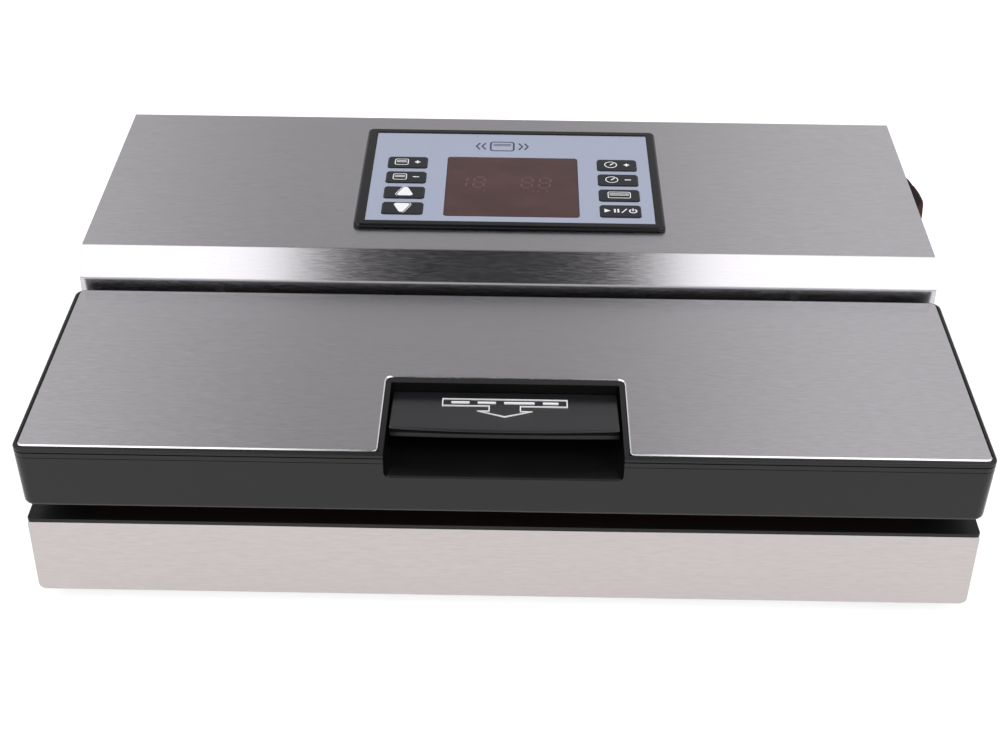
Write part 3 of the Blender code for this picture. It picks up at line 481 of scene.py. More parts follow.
def smoked_window(name, colour):
    """A dark red filter over a display, a little mottled by what lies behind it."""
    paint = Paint(name)
    cloud = paint.noise(paint.where((38, 60, 38)), detail=3.0)
    fine = paint.noise(paint.where((1500, 1500, 1500)), detail=1.0)
    paint.set(
        Base_Color=paint.tones(cloud, colour, 0.86, 1.14, (0.35, 0.65)),
        Roughness=paint.span(cloud, 0.12, 0.20),
        Specular_IOR_Level=0.35,
        Normal=paint.bump(fine, 0.02, 0.01),
    )
    return paint.material


def translucent(name, colour, roughness=0.25, weight=0.35, specular=0.5):
    """Plastic or rubber that light soaks into."""
    paint = Paint(name)
    cloud = paint.noise(paint.where((90, 90, 90)), detail=2.0)
    paint.set(
        Base_Color=paint.tones(cloud, colour, 0.8, 1.15),
        Roughness=paint.span(cloud, roughness - 0.05, roughness + 0.05),
        Specular_IOR_Level=specular,
        Subsurface_Weight=weight,
        Subsurface_Radius=(0.004, 0.002, 0.002),
        Normal=paint.bump(cloud, 0.05, 0.05),
    )
    return paint.material


STAINLESS = brushed("stainless_brushed", (0.60, 0.59, 0.61))
STAINLESS_SIDE = brushed("stainless_side", (0.58, 0.57, 0.59), along="Y", contrast=0.8)
# Front sheet: the same brushed stainless, painted darker and warmer as shade for the front face.
STAINLESS_FRONT_SHADED = brushed("stainless_front_painted_shade", (0.52, 0.484, 0.474), contrast=0.8)
# Cut edge of the lid plate: a polished finish, and its lighter colour is a painted highlight.
POLISHED_HIGHLIGHT = brushed("polished_edge", (0.80, 0.80, 0.82), "X", 0.16, 0.3, contrast=0.3)
STEEL = plated("zinc_steel", (0.50, 0.50, 0.51))
SPRING = plated("spring_steel", (0.42, 0.42, 0.44), roughness=0.28)
ALUMINIUM = brushed("extruded_aluminium", (0.70, 0.70, 0.71), roughness=0.3, anisotropy=0.5)
HEATER = plated("heater_ribbon", (0.52, 0.47, 0.40), roughness=0.35)
BRASS = plated("contact_brass", (0.72, 0.60, 0.38), roughness=0.25)
BLACK = moulded("black_abs_satin", (0.0042, 0.0046, 0.0043), roughness=0.22, specular=0.38)
BLACK_BASE = moulded("black_abs_deck", (0.0045, 0.0045, 0.0045), 0.40, 0.2, specular=0.3)
BLACK_PANEL = moulded("black_bezel", (0.0032, 0.0034, 0.0038), 0.14, 0.03, specular=0.34)
GRIP = moulded("black_grip", (0.0085, 0.0088, 0.0105), 0.24, 0.10, specular=0.45)
RUBBER = moulded("black_rubber", (0.016, 0.016, 0.016), roughness=0.82, grain=0.35, grain_mm=0.6)
TRAY = moulded("grey_tray", (0.045, 0.047, 0.050), roughness=0.42, grain=0.15, wear=0.15)
SILICONE = moulded("red_silicone", (0.40, 0.085, 0.055), roughness=0.55, grain=0.15, grain_mm=0.8)
KEY = moulded("key_black", (0.0066, 0.0088, 0.0125), roughness=0.34, grain=0.06, specular=0.35)
BLUE = moulded("component_blue", (0.02, 0.07, 0.26), roughness=0.3)
GLOSS = moulded("component_black", (0.012, 0.012, 0.013), roughness=0.2, grain=0.03)
INK = moulded("white_ink", (0.80, 0.81, 0.82), roughness=0.5, grain=0.05, grain_mm=0.2)
DARK_INK = moulded("dark_ink", (0.032, 0.040, 0.078), 0.5, 0.05, grain_mm=0.2)
DIGIT = moulded("unlit_segment", (0.112, 0.060, 0.050), 0.45, 0.03, specular=0.3)
FOAM = foam("gasket_foam", (0.050, 0.050, 0.053))
CLOTH = woven("ptfe_cloth", (0.30, 0.19, 0.095))
CORE = laminated("core_laminations", (0.15, 0.15, 0.16), along="Y")
WINDING = laminated("copper_winding", (0.62, 0.27, 0.10), along="Z", pitch_mm=0.8)
BOARD = circuit("circuit_board")
FILM = printed_film("overlay_film", (0.400, 0.442, 0.560))
WINDOW = smoked_window("display_filter", (0.061, 0.0275, 0.0255))
RED = translucent("red_rocker", (0.055, 0.002, 0.003), 0.3, weight=0.1, specular=0.12)
SWITCH = moulded("switch_black", (0.0022, 0.0020, 0.0020), 0.3, 0.03, specular=0.08)
HOSE = translucent("hose_silicone", (0.62, 0.62, 0.58), roughness=0.4)


# ------------ carried-over CAD nodes


def carry_over(nodes, material, edge=0.0, segments=2):
    """Keeps CAD nodes as they are, with a better material and softened edges."""
    for node in nodes:
        item = frame["nodes"][node]
        item.data.materials.clear()
        item.data.materials.append(material)
        if edge:
            edge_finish(item, edge, segments)


def dress_cad_nodes():
    sides = ("left", "right")
    carry_over([f"{side}_side_panel" for side in sides], STAINLESS_SIDE, edge=0.15)
    carry_over(["base_pan"], STEEL, edge=0.2)
    carry_over(["deck"], BLACK_BASE, edge=0.35)
    carry_over(["seal_bar", "vacuum_port"], ALUMINIUM, edge=0.25)
    carry_over(["valve_plunger"], ALUMINIUM)
    carry_over(["heater_strip"], HEATER)
    carry_over(["ptfe_tape"], CLOTH)
    carry_over(["drip_tray"], TRAY, edge=0.3)
    carry_over(["lower_gasket", "upper_gasket"], FOAM, edge=0.8)
    carry_over(["pressure_strip"], SILICONE, edge=0.4)
    carry_over(["lid_liner"], BLACK_BASE, edge=0.3)
    carry_over([f"hinge_bracket_{side}" for side in sides], STEEL, edge=0.2)
    carry_over([f"hinge_pin_{side}" for side in sides], STEEL, edge=0.3)
    carry_over([f"hinge_spring_{side}" for side in sides], SPRING)
    carry_over(["lid_magnet", "pump_motor", "pump_crank", "valve_body"], STEEL)
    carry_over(["switch_housing"], BLACK_PANEL, edge=0.3)
    carry_over(["power_inlet"], BLACK_BASE, edge=0.3)
    carry_over(["fan_frame", "pump_head"], BLACK_BASE)
    carry_over(["fan_impeller", "display_module", "capacitor", "lid_sensor"], GLOSS)
    carry_over(["display_pcb", "main_pcb"], BOARD)
    carry_over(["transformer_core"], CORE)
    carry_over(["transformer_coil"], WINDING)
    carry_over(["relay"], BLUE)
    carry_over(["vacuum_hose"], HOSE)


# ------------ body shells


def build_front_panel():
    low, high = box_of("front_panel")
    sheet = slab(low, high, rounds=[("Y low", 3.4, 8), ("Y high", 1.0, 4)])
    # The front sheet's darker, warmer steel is painted shade.
    piece(sheet, "front_sheet", "base", "stainless", STAINLESS_FRONT_SHADED, ("front_panel",), edge=0.25)


def build_housing():
    """Folded cover: upright strip, chamfer, top and a short rear lip, with small bend radii."""
    low, high = box_of("housing_cover")
    sheet, rear_lip = 1.2, 8.0
    fold_z, chamfer_y = 86.6, 153.9
    corners = [
        (low.y, low.z),
        (low.y, fold_z),
        (chamfer_y, high.z),
        (high.y, high.z),
        (high.y, high.z - rear_lip),
    ]
    outer = bent_line(corners, radius=2.4)
    inner = bent_line(offset_line(corners, sheet), radius=1.2)
    cover = sweep_x(outer + inner[::-1], (high.x - low.x) / 2)
    panel_hole = slab((-74, 182, 90), (74, 278, 110))
    cover = carve(cover, panel_hole)
    piece(cover, "housing_skin", "base", "stainless", STAINLESS, ("housing_cover",), edge=0.15)

    low, high = box_of("rear_panel")
    carry_over(["rear_panel"], STAINLESS, edge=0.12)
    for x in (low.x + 7, high.x - 7):
        for z in (low.z + 12, high.z - 12):
            screw(f"rear_screw_{int(x)}_{int(z)}", (x, high.y, z), "Y", 1)
    pan_low, pan_high = box_of("base_pan")
    for x in (pan_low.x + 12, 0.0, pan_high.x - 12):
        for y in (pan_low.y + 60, pan_high.y - 50):
            screw(f"pan_screw_{int(x)}_{int(y)}", (x, y, pan_low.z), "Z", -1)


def bent_line(corners, radius):
    """The corners with each inner one turned into a short curve."""
    found = [corners[0]]
    for before, corner, after in zip(corners, corners[1:], corners[2:]):
        here = Vector(corner)
        back = (Vector(before) - here).normalized()
        onward = (Vector(after) - here).normalized()
        half = back.angle(onward) / 2
        reach = radius / math.tan(half)
        start, end = here + back * reach, here + onward * reach
        for step in range(7):
            share = step / 6
            first, second = start.lerp(here, share), here.lerp(end, share)
            found.append(tuple(first.lerp(second, share)))
    found.append(corners[-1])
    return found


def offset_line(corners, distance):
    """The open line moved to its right-hand side by a distance, as the inside of a sheet."""
    normals = []
    for first, second in zip(corners, corners[1:]):
        run = (Vector(second) - Vector(first)).normalized()
        normals.append(Vector((run.y, -run.x)))
    moved = [tuple(Vector(corners[0]) + normals[0] * distance)]
    for index in range(1, len(corners) - 1):
        bisector = (normals[index - 1] + normals[index]).normalized()
        reach = distance / bisector.dot(normals[index])
        moved.append(tuple(Vector(corners[index]) + bisector * reach))
    moved.append(tuple(Vector(corners[-1]) + normals[-1] * distance))
    return moved


def screw(name, seat, axis, outward, radius=2.6):
    """A pan head screw with a cross recess, standing on a flat face."""
    seat = Vector(seat)
    direction = Vector([outward if letter == axis else 0 for letter in "XYZ"])
    height, slot_width = 1.0, 0.6
    ends = (radius, radius * 0.72)[::outward]
    head = rod(seat + direction * height / 2, ends[0], height, axis, 32, ends[1])
    tip = seat + direction * height
    tools = []
    for letter in "XYZ".replace(axis, ""):
        size = Vector((slot_width, slot_width, slot_width))
        size["XYZ".index(letter)] = radius * 1.15
        tools.append(slab(tip - size / 2, tip + size / 2))
    head = carve(head, *tools)
    piece(head, name, "base", "steel", STEEL, edge=0.12)


# ------------ lid


def build_lid_shell():
    """Black frame of the lid, with parting grooves, the finger pocket and the hinge ears."""
    low, high = box_of("lid_frame")
    plate_low, plate_high = box_of("lid_plate")
    corner, wall, bottom_half, ceiling = 5.5, 2.5, 219.1, 79.2
    shell = slab(
        low, high, [("Z", corner, 10), ("bottom", 2.4, 5), ("top", 0.8, 4)], bottom_half / high.x
    )
    grooves = []
    for drop, width, depth in ((2.1, 0.55, 0.5), (4.8, 0.3, 0.2)):
        z = high.z - drop
        outside = slab(*around(low, high, 2, z - width / 2, z + width / 2))
        inside = slab(*around(low, high, -depth, z - 1, z + 1), [("Z", corner - depth, 10)])
        grooves.append(carve(outside, inside))
    inner_half = bottom_half - wall
    cavity = slab(
        (-inner_half, low.y + wall, low.z - 6),
        (inner_half, high.y - wall, ceiling),
        [("Z", 3.0, 6)],
    )
    seat_box = around(plate_low, plate_high, CLEAR, plate_low.z - CLEAR, plate_high.z + 5)
    seat = slab(*seat_box, [("Z", 3.6, 8)])
    carve(shell, *grooves, cavity, seat)

    half, rear, sill, floor, well_front = 54.0, 55.0, 70.3, 67.4, -1.8
    rim_half, rim_rear = 56.3, 59.4
    front = low.y + 1.2
    pocket_box = slab((-half - wall, front, floor - wall), (half + wall, rear + wall, 81.5))
    rim = slab((-rim_half, front - 0.3, 81.0), (rim_half, rim_rear, high.z), [("Z", 3.8, 8)])
    ears, inner, outer, ear_rear = [], 3.0, 8.5, 132.9
    for x in (-HINGE_X, HINGE_X):
        for start, end in ((-outer, -inner), (inner, outer)):
            ear_low = (x + start, HINGE_Y - 6.5, HINGE_Z - 6.5)
            ears.append(slab(ear_low, (x + end, ear_rear, 80.0), [("X low", 4.0, 5)]))
    ribs = [slab((x - 0.9, 60.0, 74.0), (x + 0.9, ear_rear, 79.5)) for x in (-200, -100, 100, 200)]
    fuse(shell, pocket_box, rim, *ears, *ribs)

    mouth = slab((-half, low.y - 5, sill), (half, rear, 95.0), [("Y low", 3.0, 6)])
    well = slab((-half, well_front, floor), (half, rear, 80.0), [("Y low", 3.0, 6)])
    notches = [
        slab((x - inner, HINGE_Y + 4.0, 45.0), (x + inner, HINGE_Y + 14.0, 80.0))
        for x in (-HINGE_X, HINGE_X)
    ]
    pin = rod((0, HINGE_Y, HINGE_Z), 2.8, 330, "X", 24)
    carve(shell, mouth, well, pin, *notches)
    piece(shell, "lid_shell", "lid", "black_abs", BLACK, ("lid_frame",), edge=0.3)


def rounded_loop(corners):
    """A closed outline from (x, y, radius) corners."""
    found = []
    for index, (x, y, radius) in enumerate(corners):
        before, after = corners[index - 1], corners[(index + 1) % len(corners)]
        found += bent_line([before[:2], (x, y), after[:2]], radius)[1:-1]
    return found


def build_lid_plate():
    """Brushed top plate with a bright cut edge: polished, and painted in a lighter steel as a highlight."""
    low, high = box_of("lid_plate")
    notch_half, notch_rear, corner = 56.6, 59.7, 3.3
    left = [
        (-notch_half, notch_rear, 3.8),
        (-notch_half, low.y, 2.0),
        (low.x, low.y, corner),
        (low.x, high.y, corner),
    ]
    right = [(-x, y, radius) for x, y, radius in reversed(left)]
    sheet = upright_block(rounded_loop(left + right), low.z, high.z)
    # The edge material is lighter than the plate: a painted highlight.
    finish = {"edge": 0.6, "segments": 1, "bright": POLISHED_HIGHLIGHT}
    piece(sheet, "lid_top_sheet", "lid", "stainless", STAINLESS, ("lid_plate",), **finish)


GRIP_REAR = (54.7, 78.0)  # ends of the grip's upper face, as (y, z)
GRIP_FRONT = (20.0, 81.6)


def grip_section(share):
    """Outline (y, z) of the grip at a share of its half length, 0 in the middle and 1 at an end."""
    bow = 1.9 * (1 - share * share)
    thick = 4.8 + 0.8 * share * share
    front_y, top = GRIP_FRONT[0] - bow, GRIP_FRONT[1]
    bottom = top - thick
    slope = (GRIP_REAR[1] - top) / (GRIP_REAR[0] - GRIP_FRONT[0])
    dish = 0.35 * (1 - share * share)
    bead = 0.9
    points = [GRIP_REAR]
    for step in range(1, 8):
        y = GRIP_REAR[0] + (front_y + bead - GRIP_REAR[0]) * step / 8
        sink = dish * math.sin(math.pi * step / 8)
        points.append((y, top + slope * (y - GRIP_FRONT[0]) - sink))
    points += arc((front_y + bead, top - bead), bead, 90, 200, 6)
    points += [
        (front_y + 0.65, top - 2.0),
        (front_y + 0.80, (top + bottom) / 2 - 0.2),
        (front_y + 0.60, bottom + 1.7),
    ]
    points += arc((front_y + 0.9, bottom + 0.8), 0.8, 165, 270, 5)
    points += [
        (front_y + 3.5, bottom + 0.2),
        (front_y + 7.0, 77.3),
        (GRIP_REAR[0], 75.5),
    ]
    return points


def build_grip():
    """The grip inside the pocket: a ramp that falls to the rear, with a bowed double lip."""
    half = box_of("lid_handle")[1].x
    stations = 40
    mesh = bmesh.new()
    rows = []
    for index in range(stations + 1):
        share = 2 * index / stations - 1
        x = share * half * MM
        rows.append([mesh.verts.new((x, y * MM, z * MM)) for y, z in grip_section(abs(share))])
    count = len(rows[0])
    for first, second in zip(rows, rows[1:]):
        for index in range(count):
            follower = (index + 1) % count
            mesh.faces.new((first[index], first[follower], second[follower], second[index]))
    mesh.faces.new(rows[0][::-1])
    mesh.faces.new(rows[-1])
    bmesh.ops.recalc_face_normals(mesh, faces=mesh.faces)
    grip = mesh_object("grip", mesh)
    end_edges = grip.modifiers.new("edge", "BEVEL")
    end_edges.width = 0.5 * MM
    end_edges.segments = 2
    end_edges.limit_method = "ANGLE"
    end_edges.angle_limit = math.radians(60)
    bake_down(grip)
    piece(grip, "grip_paddle", "lid", "gloss_black", GRIP, ("lid_handle",))


# ------------ printed symbols


def ribbon(points, width, closed=False):
    """Outlines in the plane of a line with a width: one for an open line, two for a closed one."""
    lines = [Vector(point) for point in points]
    count = len(lines)
    left, right = [], []
    for index, here in enumerate(lines):
        before = lines[index - 1] if closed or index else here
        after = lines[(index + 1) % count] if closed or index < count - 1 else here
        back, onward = (here - before), (after - here)
        back = back.normalized() if back.length else onward.normalized()
        onward = onward.normalized() if onward.length else back
        normal = Vector((-(back.y + onward.y), back.x + onward.x)).normalized()
        reach = width / 2 / max(0.5, normal.dot(Vector((-onward.y, onward.x))))
        left.append(tuple(here + normal * reach))
        right.append(tuple(here - normal * reach))
    return [left, right] if closed else [left + right[::-1]]


def arc(centre, radius, start, end, steps=14):
    found = []
    for step in range(steps + 1):
        angle = math.radians(start + (end - start) * step / steps)
        found.append((centre[0] + radius * math.cos(angle), centre[1] + radius * math.sin(angle)))
    return found


def oblong(centre, width, height, radius=0.0):
    """A rectangle's outline, with round corners if radius is set."""
    x, y = centre
    half_x, half_y = width / 2, height / 2
    if not radius:
        turns = ((-1, -1), (1, -1), (1, 1), (-1, 1))
        return [(x + sx * half_x, y + sy * half_y) for sx, sy in turns]
    found = []
    for turn, (sx, sy) in enumerate(((1, 1), (-1, 1), (-1, -1), (1, -1))):
        corner = (x + sx * (half_x - radius), y + sy * (half_y - radius))
        found += arc(corner, radius, 90 * turn, 90 * turn + 90, 5)
    return found


def printed(name, outlines, material, body, slot, place, thickness=PRINT):
    """Ink: flat outlines in millimetres, laid on a surface by a matrix in the machine frame."""
    curve = bpy.data.curves.new(name, "CURVE")
    curve.dimensions = "2D"
    curve.fill_mode = "BOTH"
    curve.extrude = thickness * MM / 2
    for outline in outlines:
        spline = curve.splines.new("POLY")
        spline.points.add(len(outline) - 1)
        for point, (x, y) in zip(spline.points, outline):
            point.co = (x * MM, y * MM, 0.0, 1.0)
        spline.use_cyclic_u = True
    source = new_object(name, curve)
    data = evaluated(source)
    bpy.data.objects.remove(source)
    mesh = bmesh.new()
    mesh.from_mesh(data)
    bmesh.ops.remove_doubles(mesh, verts=mesh.verts, dist=1e-7)
    lift = Matrix.Translation((0, 0, thickness * MM / 2))
    bmesh.ops.transform(mesh, matrix=place @ lift, verts=mesh.verts)
    piece(mesh_object(name, mesh), name, body, slot, material)


def at(x, y, z):
    return Matrix.Translation(Vector((x, y, z)) * MM)


def plus_mark(x, size=3.0, width=0.95):
    half, thin = size / 2, width / 2
    corners = [(half, thin), (thin, thin), (thin, half)]
    found = []
    for turn in range(4):
        angle = Matrix.Rotation(math.pi / 2 * turn, 2)
        found += [tuple(angle @ Vector(corner) + Vector((x, 0))) for corner in corners]
    return [found]


def minus_mark(x, size=3.4, width=0.8):
    return [oblong((x, 0), size, width)]


def pouch_mark(x, width=7.2, height=6.4, line=0.48):
    """A pouch with a double seal line under its mouth."""
    outline = oblong((x, 0), width, height, 1.0)
    marks = ribbon(outline, line, closed=True)
    for drop in (1.9, 3.3):
        marks.append(oblong((x, height / 2 - drop), width - 1.6, 0.55))
    return marks


def pump_mark(x, radius=3.3, line=0.48):
    """A round gauge with its needle, for the vacuum."""
    marks = ribbon(arc((x, 0), radius, 0, 350, 28), line, closed=True)
    marks += ribbon([(x - 0.4, -0.5), (x + 1.7, 1.8)], 0.7)
    return marks


def arrow_mark(up):
    """A triangle with round corners, and a thin line along one side."""
    sign = 1 if up else -1
    corners = [(0.55, 3.6), (-2.2, -2.9), (3.2, -2.9)]
    solid, edge = [], []
    for corner, (start, end) in zip(corners, ((22, 157), (157, 270), (270, 382))):
        solid += arc(corner, 1.5, start, end, 6)
    for corner, (start, end) in zip(corners, ((105, 157), (157, 235))):
        edge += arc(corner, 2.25, start, end, 6)
    parts = (solid, *ribbon(edge, 0.35))
    return [[(x * sign, y * sign + 0.5) for x, y in part] for part in parts]


def start_mark():
    """Play, pause, a stroke and power."""
    marks = [[(-8.6, -2.0), (-8.6, 2.0), (-5.2, 0.0)]]
    marks += [oblong((x, 0), 0.95, 3.8) for x in (-3.0, -1.2)]
    marks += ribbon([(0.6, -2.1), (3.4, 2.1)], 0.7)
    marks += ribbon(arc((6.7, -0.2), 1.9, 120, 420, 18), 0.75)
    marks.append(oblong((6.7, 1.2), 0.75, 2.6))
    return marks


KEY_MARKS = {
    "key_left_plus": lambda: pouch_mark(-3.4) + plus_mark(5.4),
    "key_left_minus": lambda: pouch_mark(-3.4) + minus_mark(5.4),
    "key_left_minor_up": lambda: arrow_mark(True),
    "key_left_minor_down": lambda: arrow_mark(False),
    "key_right_plus": lambda: pump_mark(-3.4) + plus_mark(5.4),
    "key_right_minus": lambda: pump_mark(-3.4) + minus_mark(5.4),
    "key_right_minor_up": lambda: pouch_mark(0.0, width=12.0),
    "key_right_minor_down": start_mark,
}


def build_grip_print():
    """A long frame with an arrow under it, and short bars where words would stand."""
    slope = math.atan2(GRIP_FRONT[1] - GRIP_REAR[1], GRIP_REAR[0] - GRIP_FRONT[0])
    surface = at(0, GRIP_FRONT[0], GRIP_FRONT[1]) @ Matrix.Rotation(-slope, 4, "X")
    half, top, bottom = 29.2, 27.8, 21.3
    neck, wing, shoulder, tip = 7.3, 12.5, 16.4, 11.1
    outline = [
        (-half, bottom),
        (-half, top),
        (half, top),
        (half, bottom),
        (neck, bottom),
        (neck, shoulder),
        (wing, shoulder),
        (0, tip),
        (-wing, shoulder),
        (-neck, shoulder),
        (-neck, bottom),
    ]
    marks = ribbon(outline, 0.55, closed=True)
    x = -25.2
    for bar in (8.6, 8.6, 14.4, 7.4):
        marks.append(oblong((x + bar / 2, (top + bottom) / 2), bar, 1.5, 0.5))
        x += bar + 3.8
    sunk, thick = 0.20, 0.55
    printed("grip_symbols", marks, INK, "lid", "key_black", surface @ at(0, 0, -sunk), thick)


# ------------ control panel


def build_bezel():
    low, high = box_of("control_bezel")
    film_low, film_high = box_of("control_overlay")
    skirt_top = 99.3
    frame_part = slab((low.x, low.y, skirt_top), high, [("Z", 3.5, 8), ("top", 1.5, 5)])
    skirt = slab((-73, 183, low.z), (73, 277, skirt_top + 0.4))
    seat_box = around(film_low, film_high, CLEAR, film_low.z - CLEAR, film_high.z + 5)
    seat = slab(*seat_box, [("Z", 0.6, 3)])
    hollow = slab((-71.6, 184, low.z - 5), (71.6, 275, film_high.z + 5))
    carve(fuse(frame_part, skirt), seat, hollow)
    stands_for = ("control_bezel",)
    piece(frame_part, "panel_bezel", "base", "black_abs", BLACK_PANEL, stands_for, edge=0.2)


def build_overlay():
    """Printed film with its key and window holes, the window and the unlit digits."""
    low, high = box_of("control_overlay")
    film = slab(low, high, rounds=[("Z", 0.5, 3)])
    holes = []
    for key in KEY_MARKS:
        hole_box = around(*box_of(key), CLEAR - KEY_FLANGE, low.z - 2, high.z + 2)
        holes.append(slab(*hole_box, [("Z", 1.8, 5)]))
    window_low, window_high = box_of("display_window")
    lip = 1.8
    side = (window_low.x + lip, window_high.x - lip)
    front, rear = 186.0, window_high.y - lip
    hole_low = (side[0] - CLEAR, front - CLEAR, low.z - 2)
    hole_high = (side[1] + CLEAR, rear + CLEAR, high.z + 2)
    holes.append(slab(hole_low, hole_high, [("Z", 2.0, 5)]))
    carve(film, *holes)
    stands_for = ("control_overlay",)
    piece(film, "panel_film", "base", "overlay_film", FILM, stands_for, edge=0.10, segments=1)

    face_low = (side[0], front, window_low.z + 0.5)
    window = slab(face_low, (side[1], rear, high.z), [("Z", 1.7, 5)])
    rim = slab(*around(window_low, window_high, 0.0, window_low.z, window_low.z + 1.0))
    fuse(window, rim)
    piece(window, "display_filter", "base", "window_film", WINDOW, ("display_window",), edge=0.15)

    middle_x = (side[0] + side[1]) / 2
    digit_y = front + (rear - front) * 0.562
    digit_pitch, dot_drop = 9.6, 8.9
    marks = []
    for start, text in ((-27.6, "18"), (8.3, "88")):
        for index, digit in enumerate(text):
            marks += digit_marks(middle_x + start + index * digit_pitch, digit_y, digit)
    for x in (-15.0, 11.9, 14.2, 19.2):
        marks.append(oblong((middle_x + x, digit_y - dot_drop), 1.1, 1.0))
    printed("unlit_digits", marks, DIGIT, "base", "window_film", at(0, 0, high.z - 0.02))

    middle, symbol_y = -4.5, 266.0
    marks = ribbon(oblong((middle, 0.0), 13.0, 10.6, 1.8), 1.0, closed=True)
    marks += [oblong((middle, y), 10.0, 0.7) for y in (2.5, 0.9)]
    for offset in (9.4, 12.6):
        for side in (-1, 1):
            chevron = ((offset, -3.9), (offset + 2.0, 0), (offset, 3.9))
            marks += ribbon([(middle + side * x, y) for x, y in chevron], 1.0)
    place = at(0, symbol_y, high.z - 0.01)
    printed("panel_symbol", marks, DARK_INK, "base", "overlay_film", place)


SEGMENTS = {"1": "bc", "8": "abcdefg"}  # lit bars of each digit that is shown


def digit_marks(x, y, digit, width=5.6, height=11.4, line=1.25):
    """Seven-segment bars of one digit, slightly slanted."""
    half_x, half_y = width / 2, height / 2
    gap = 0.35
    bars = {
        "a": ((-half_x, half_y), (half_x, half_y)),
        "b": ((half_x, half_y), (half_x, 0)),
        "c": ((half_x, 0), (half_x, -half_y)),
        "d": ((-half_x, -half_y), (half_x, -half_y)),
        "e": ((-half_x, -half_y), (-half_x, 0)),
        "f": ((-half_x, 0), (-half_x, half_y)),
        "g": ((-half_x, 0), (half_x, 0)),
    }
    marks, slant = [], 0.10
    for name in SEGMENTS[digit]:
        start, end = (Vector(point) for point in bars[name])
        run = (end - start).normalized() * (gap + line / 2)
        start, end = start + run, end - run
        marks += ribbon([(x + p.x + slant * p.y, y + p.y) for p in (start, end)], line)
    return marks


def build_keys():
    for name, marks in KEY_MARKS.items():
        low, high = box_of(name)
        cap_box = around(low, high, -KEY_FLANGE, 99.5, high.z)
        cap = slab(*cap_box, [("Z", 1.6, 5), ("top", 0.45, 3)])
        skirt = slab(*around(low, high, 0.0, 98.7, 99.9))
        middle = ((low.x + high.x) / 2, (low.y + high.y) / 2)
        stem = rod((*middle, 96.5), 2.0, 5.0, "Z", 20)
        fuse(cap, skirt, stem)
        piece(cap, f"{name}_cap", name, "key_black", KEY, (name,), edge=0.08, segments=1)
        printed(f"{name}_symbol", marks(), INK, name, "key_black", at(*middle, high.z - 0.01))


# ------------ switch, inlet and feet


# The rocker's outer face seen from above, from its front end to its rear end.
HUMP = [
    (222.2, 207.2),
    (224.0, 209.5),
    (226.0, 217.5),
    (227.7, 225.0),
    (228.0, 229.5),
    (227.4, 237.5),
    (225.8, 247.0),
    (224.4, 253.5),
    (222.6, 255.8),
]


def flowing(points, steps=5):
    """A smooth curve through the points."""
    lines = [Vector(point) for point in points]
    lines = [2 * lines[0] - lines[1], *lines, 2 * lines[-1] - lines[-2]]
    found = []
    for before, start, end, after in zip(lines, lines[1:], lines[2:], lines[3:]):
        for step in range(steps):
            t = step / steps
            bend = 2 * start + (end - before) * t
            bend += (2 * before - 5 * start + 4 * end - after) * t * t
            bend += (3 * start - before - 3 * end + after) * t * t * t
            found.append(tuple(bend / 2))
    found.append(tuple(lines[-2]))
    return found


def upright_block(outline, low_z, high_z):
    """A closed outline of (x, y) in millimetres, drawn up along Z."""
    mesh = bmesh.new()
    face = mesh.faces.new([mesh.verts.new((x * MM, y * MM, low_z * MM)) for x, y in outline])
    drawn = bmesh.ops.extrude_face_region(mesh, geom=[face])["geom"]
    moved = [item for item in drawn if isinstance(item, bmesh.types.BMVert)]
    bmesh.ops.translate(mesh, verts=moved, vec=(0, 0, (high_z - low_z) * MM))
    bmesh.ops.recalc_face_normals(mesh, faces=mesh.faces)
    return mesh_object("block", mesh)


def build_rocker():
    """Rocker with a smooth hump, a red lens on its front half and a plain on and off mark."""
    low, high = box_of("power_rocker")
    back = 212.3
    curve = flowing(HUMP)
    cap = upright_block([(back, curve[0][1]), *curve, (back, curve[-1][1])], low.z, high.z)
    piece(cap, "rocker_cap", "rocker", "gloss_black", SWITCH, ("power_rocker",), edge=0.3)

    lens_front, lens_rear, deep_end, ramp = 207.6, 247.0, 226.0, 10.0
    part = [point for point in curve if lens_front < point[1] < lens_rear]
    proud = [(x + 0.2, y) for x, y in part]
    sunk = [(x - 0.9 - 3.6 * max(0.0, min(1.0, (deep_end - y) / ramp)), y) for x, y in part]
    lens = upright_block(proud + sunk[::-1], low.z - 0.1, high.z + 0.1)
    piece(lens, "rocker_lens", "rocker", "red_plastic", RED, edge=0.25)

    middle_z = (low.z + high.z) / 2
    upright = Matrix.Rotation(math.pi / 2, 4, "Z") @ Matrix.Rotation(math.pi / 2, 4, "X")
    for name, spot, marks in (
        ("switch_on_mark", 219.0, [oblong((0, 0), 1.0, 7.0)]),
        ("switch_off_mark", 245.0, ribbon(arc((0, 0), 3.2, 0, 350, 28), 0.9, closed=True)),
    ):
        pairs = list(zip(curve, curve[1:]))
        first, second = min(pairs, key=lambda pair: abs(pair[0][1] - spot))
        lean = math.atan2(first[0] - second[0], second[1] - first[1])
        place = at(first[0] + 0.14, first[1], middle_z) @ Matrix.Rotation(lean, 4, "Z")
        printed(name, marks, INK, "rocker", "red_plastic", place @ upright, 0.14)


def build_inlet_pins():
    """Three flat contacts inside the mains inlet."""
    low, high = box_of("power_inlet")
    middle_x, middle_z = (low.x + high.x) / 2, (low.z + high.z) / 2
    for name, x, z in (("earth", 0.0, 2.0), ("line", -7.0, -2.0), ("neutral", 7.0, -2.0)):
        pin = slab(
            (middle_x + x - 1.0, 287.5, middle_z + z - 2.0),
            (middle_x + x + 1.0, high.y - 4.0, middle_z + z + 2.0),
        )
        piece(pin, f"inlet_pin_{name}", "base", "heater_metal", BRASS, edge=0.4)


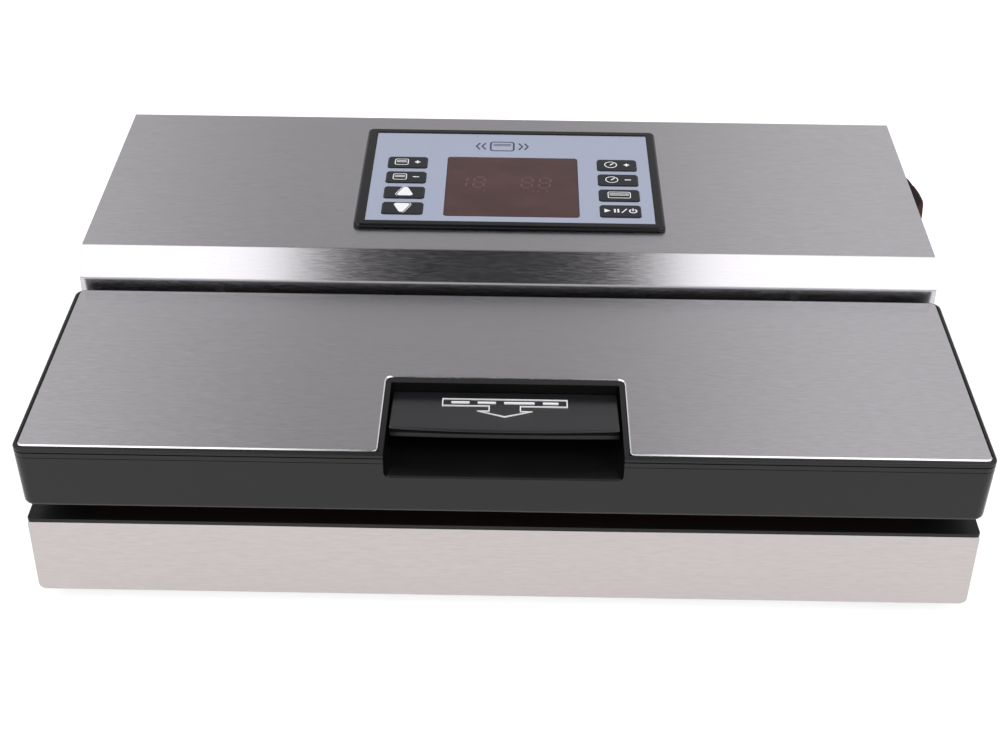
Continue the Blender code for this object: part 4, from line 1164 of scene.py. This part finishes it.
def build_feet():
    """Rubber feet with a soft lower edge and a recess for their rivet."""
    for node in ("foot_front_left", "foot_front_right", "foot_rear_left", "foot_rear_right"):
        low, high = box_of(node)
        middle = Vector(((low.x + high.x) / 2, (low.y + high.y) / 2))
        height = high.z - low.z
        foot = rod((*middle, (low.z + high.z) / 2), 9.5, height, "Z", 48, end_radius=11.0)
        foot = carve(foot, rod((*middle, low.z), 4.2, 4.0, "Z", 32))
        piece(foot, f"{node}_rubber", "base", "rubber", RUBBER, (node,), edge=0.8, segments=3)
        rivet = rod((*middle, low.z + 2.4), 3.4, 1.0, "Z", 32, end_radius=4.0)
        piece(rivet, f"{node}_rivet", "base", "steel", STEEL, edge=0.25)


# ------------ stage, light and camera


def build_stage():
    mesh = bmesh.new()
    bmesh.ops.create_grid(mesh, x_segments=1, y_segments=1, size=6.0)
    floor = mesh_object("studio_floor", mesh)
    paint = Paint("studio_paper")
    tone = paint.noise(paint.where((1.5, 1.5, 1.5)), detail=2.0)
    paint.set(
        Base_Color=paint.mix(tone, (0.44, 0.44, 0.44), (0.46, 0.46, 0.46)),
        Roughness=0.9,
        Emission_Color=(1.0, 1.0, 1.0),
        Emission_Strength=0.7,
    )
    floor.data.materials.append(paint.material)


def build_world():
    """A studio seen in the steel: a pale wall behind that is darker in the middle, broad bright
    panels overhead with a dark gap between them, and an even, softer light low in front."""
    world = bpy.data.worlds.new("studio")
    bpy.context.scene.world = world
    world.use_nodes = True
    tree = world.node_tree

    def node(kind, inputs, **settings):
        return add_node(tree, kind, inputs, **settings).outputs[0]

    def ease(value, source, target=(0.0, 1.0)):
        inputs = {0: value, 1: source[0], 2: source[1], 3: target[0], 4: target[1]}
        return node("MapRange", inputs, interpolation_type="SMOOTHSTEP")

    def off_middle(value, middle):
        moved = node("Math", {0: value, 1: middle}, operation="SUBTRACT")
        return node("Math", {0: moved}, operation="ABSOLUTE")

    def blend(share, first, second):
        span = node("Math", {0: second, 1: first}, operation="SUBTRACT")
        return node("Math", {0: span, 1: share, 2: first}, operation="MULTIPLY_ADD")

    across, depth, height = add_node(tree, "SeparateXYZ", {0: node("TexCoord", {})}).outputs
    wall_middle = ease(height, (0.49, 0.62), (0.50, 0.33))
    wall = blend(ease(off_middle(across, -0.05), (0.05, 0.27)), wall_middle, 0.70)
    panels = ease(off_middle(across, -0.018), (0.084, 0.124), (0.015, 1.9))
    front = blend(ease(height, (0.35, 0.62)), 0.75, panels)
    level = blend(ease(depth, (0.42, 0.10)), wall, front)
    background = tree.nodes["Background"]
    background.inputs["Color"].default_value = (1.0, 0.985, 1.0, 1.0)
    tree.links.new(level, background.inputs["Strength"])


def build_camera():
    """In front and about 35 degrees above the horizon, with a slight roll."""
    pitch, yaw, roll = map(math.radians, (34.77, -0.504, -0.621))
    stand = MACHINE @ (Vector((3.4, -620.3, 558.5)) * MM)
    data = bpy.data.cameras.new("camera")
    data.sensor_width = 36.0
    data.lens = 62.75
    camera = new_object("camera", data)
    turn = (
        Matrix.Rotation(-yaw, 4, "Z")
        @ Matrix.Rotation(math.pi / 2 - pitch, 4, "X")
        @ Matrix.Rotation(-roll, 4, "Z")
    )
    camera.matrix_world = Matrix.Translation(stand) @ turn
    bpy.context.scene.camera = camera


def main():
    bpy.context.scene.view_settings.view_transform = "Standard"
    dress_cad_nodes()
    build_front_panel()
    build_housing()
    build_lid_shell()
    build_lid_plate()
    build_grip()
    build_grip_print()
    build_bezel()
    build_overlay()
    build_keys()
    build_rocker()
    build_inlet_pins()
    build_feet()
    build_stage()
    build_world()
    build_camera()


main()
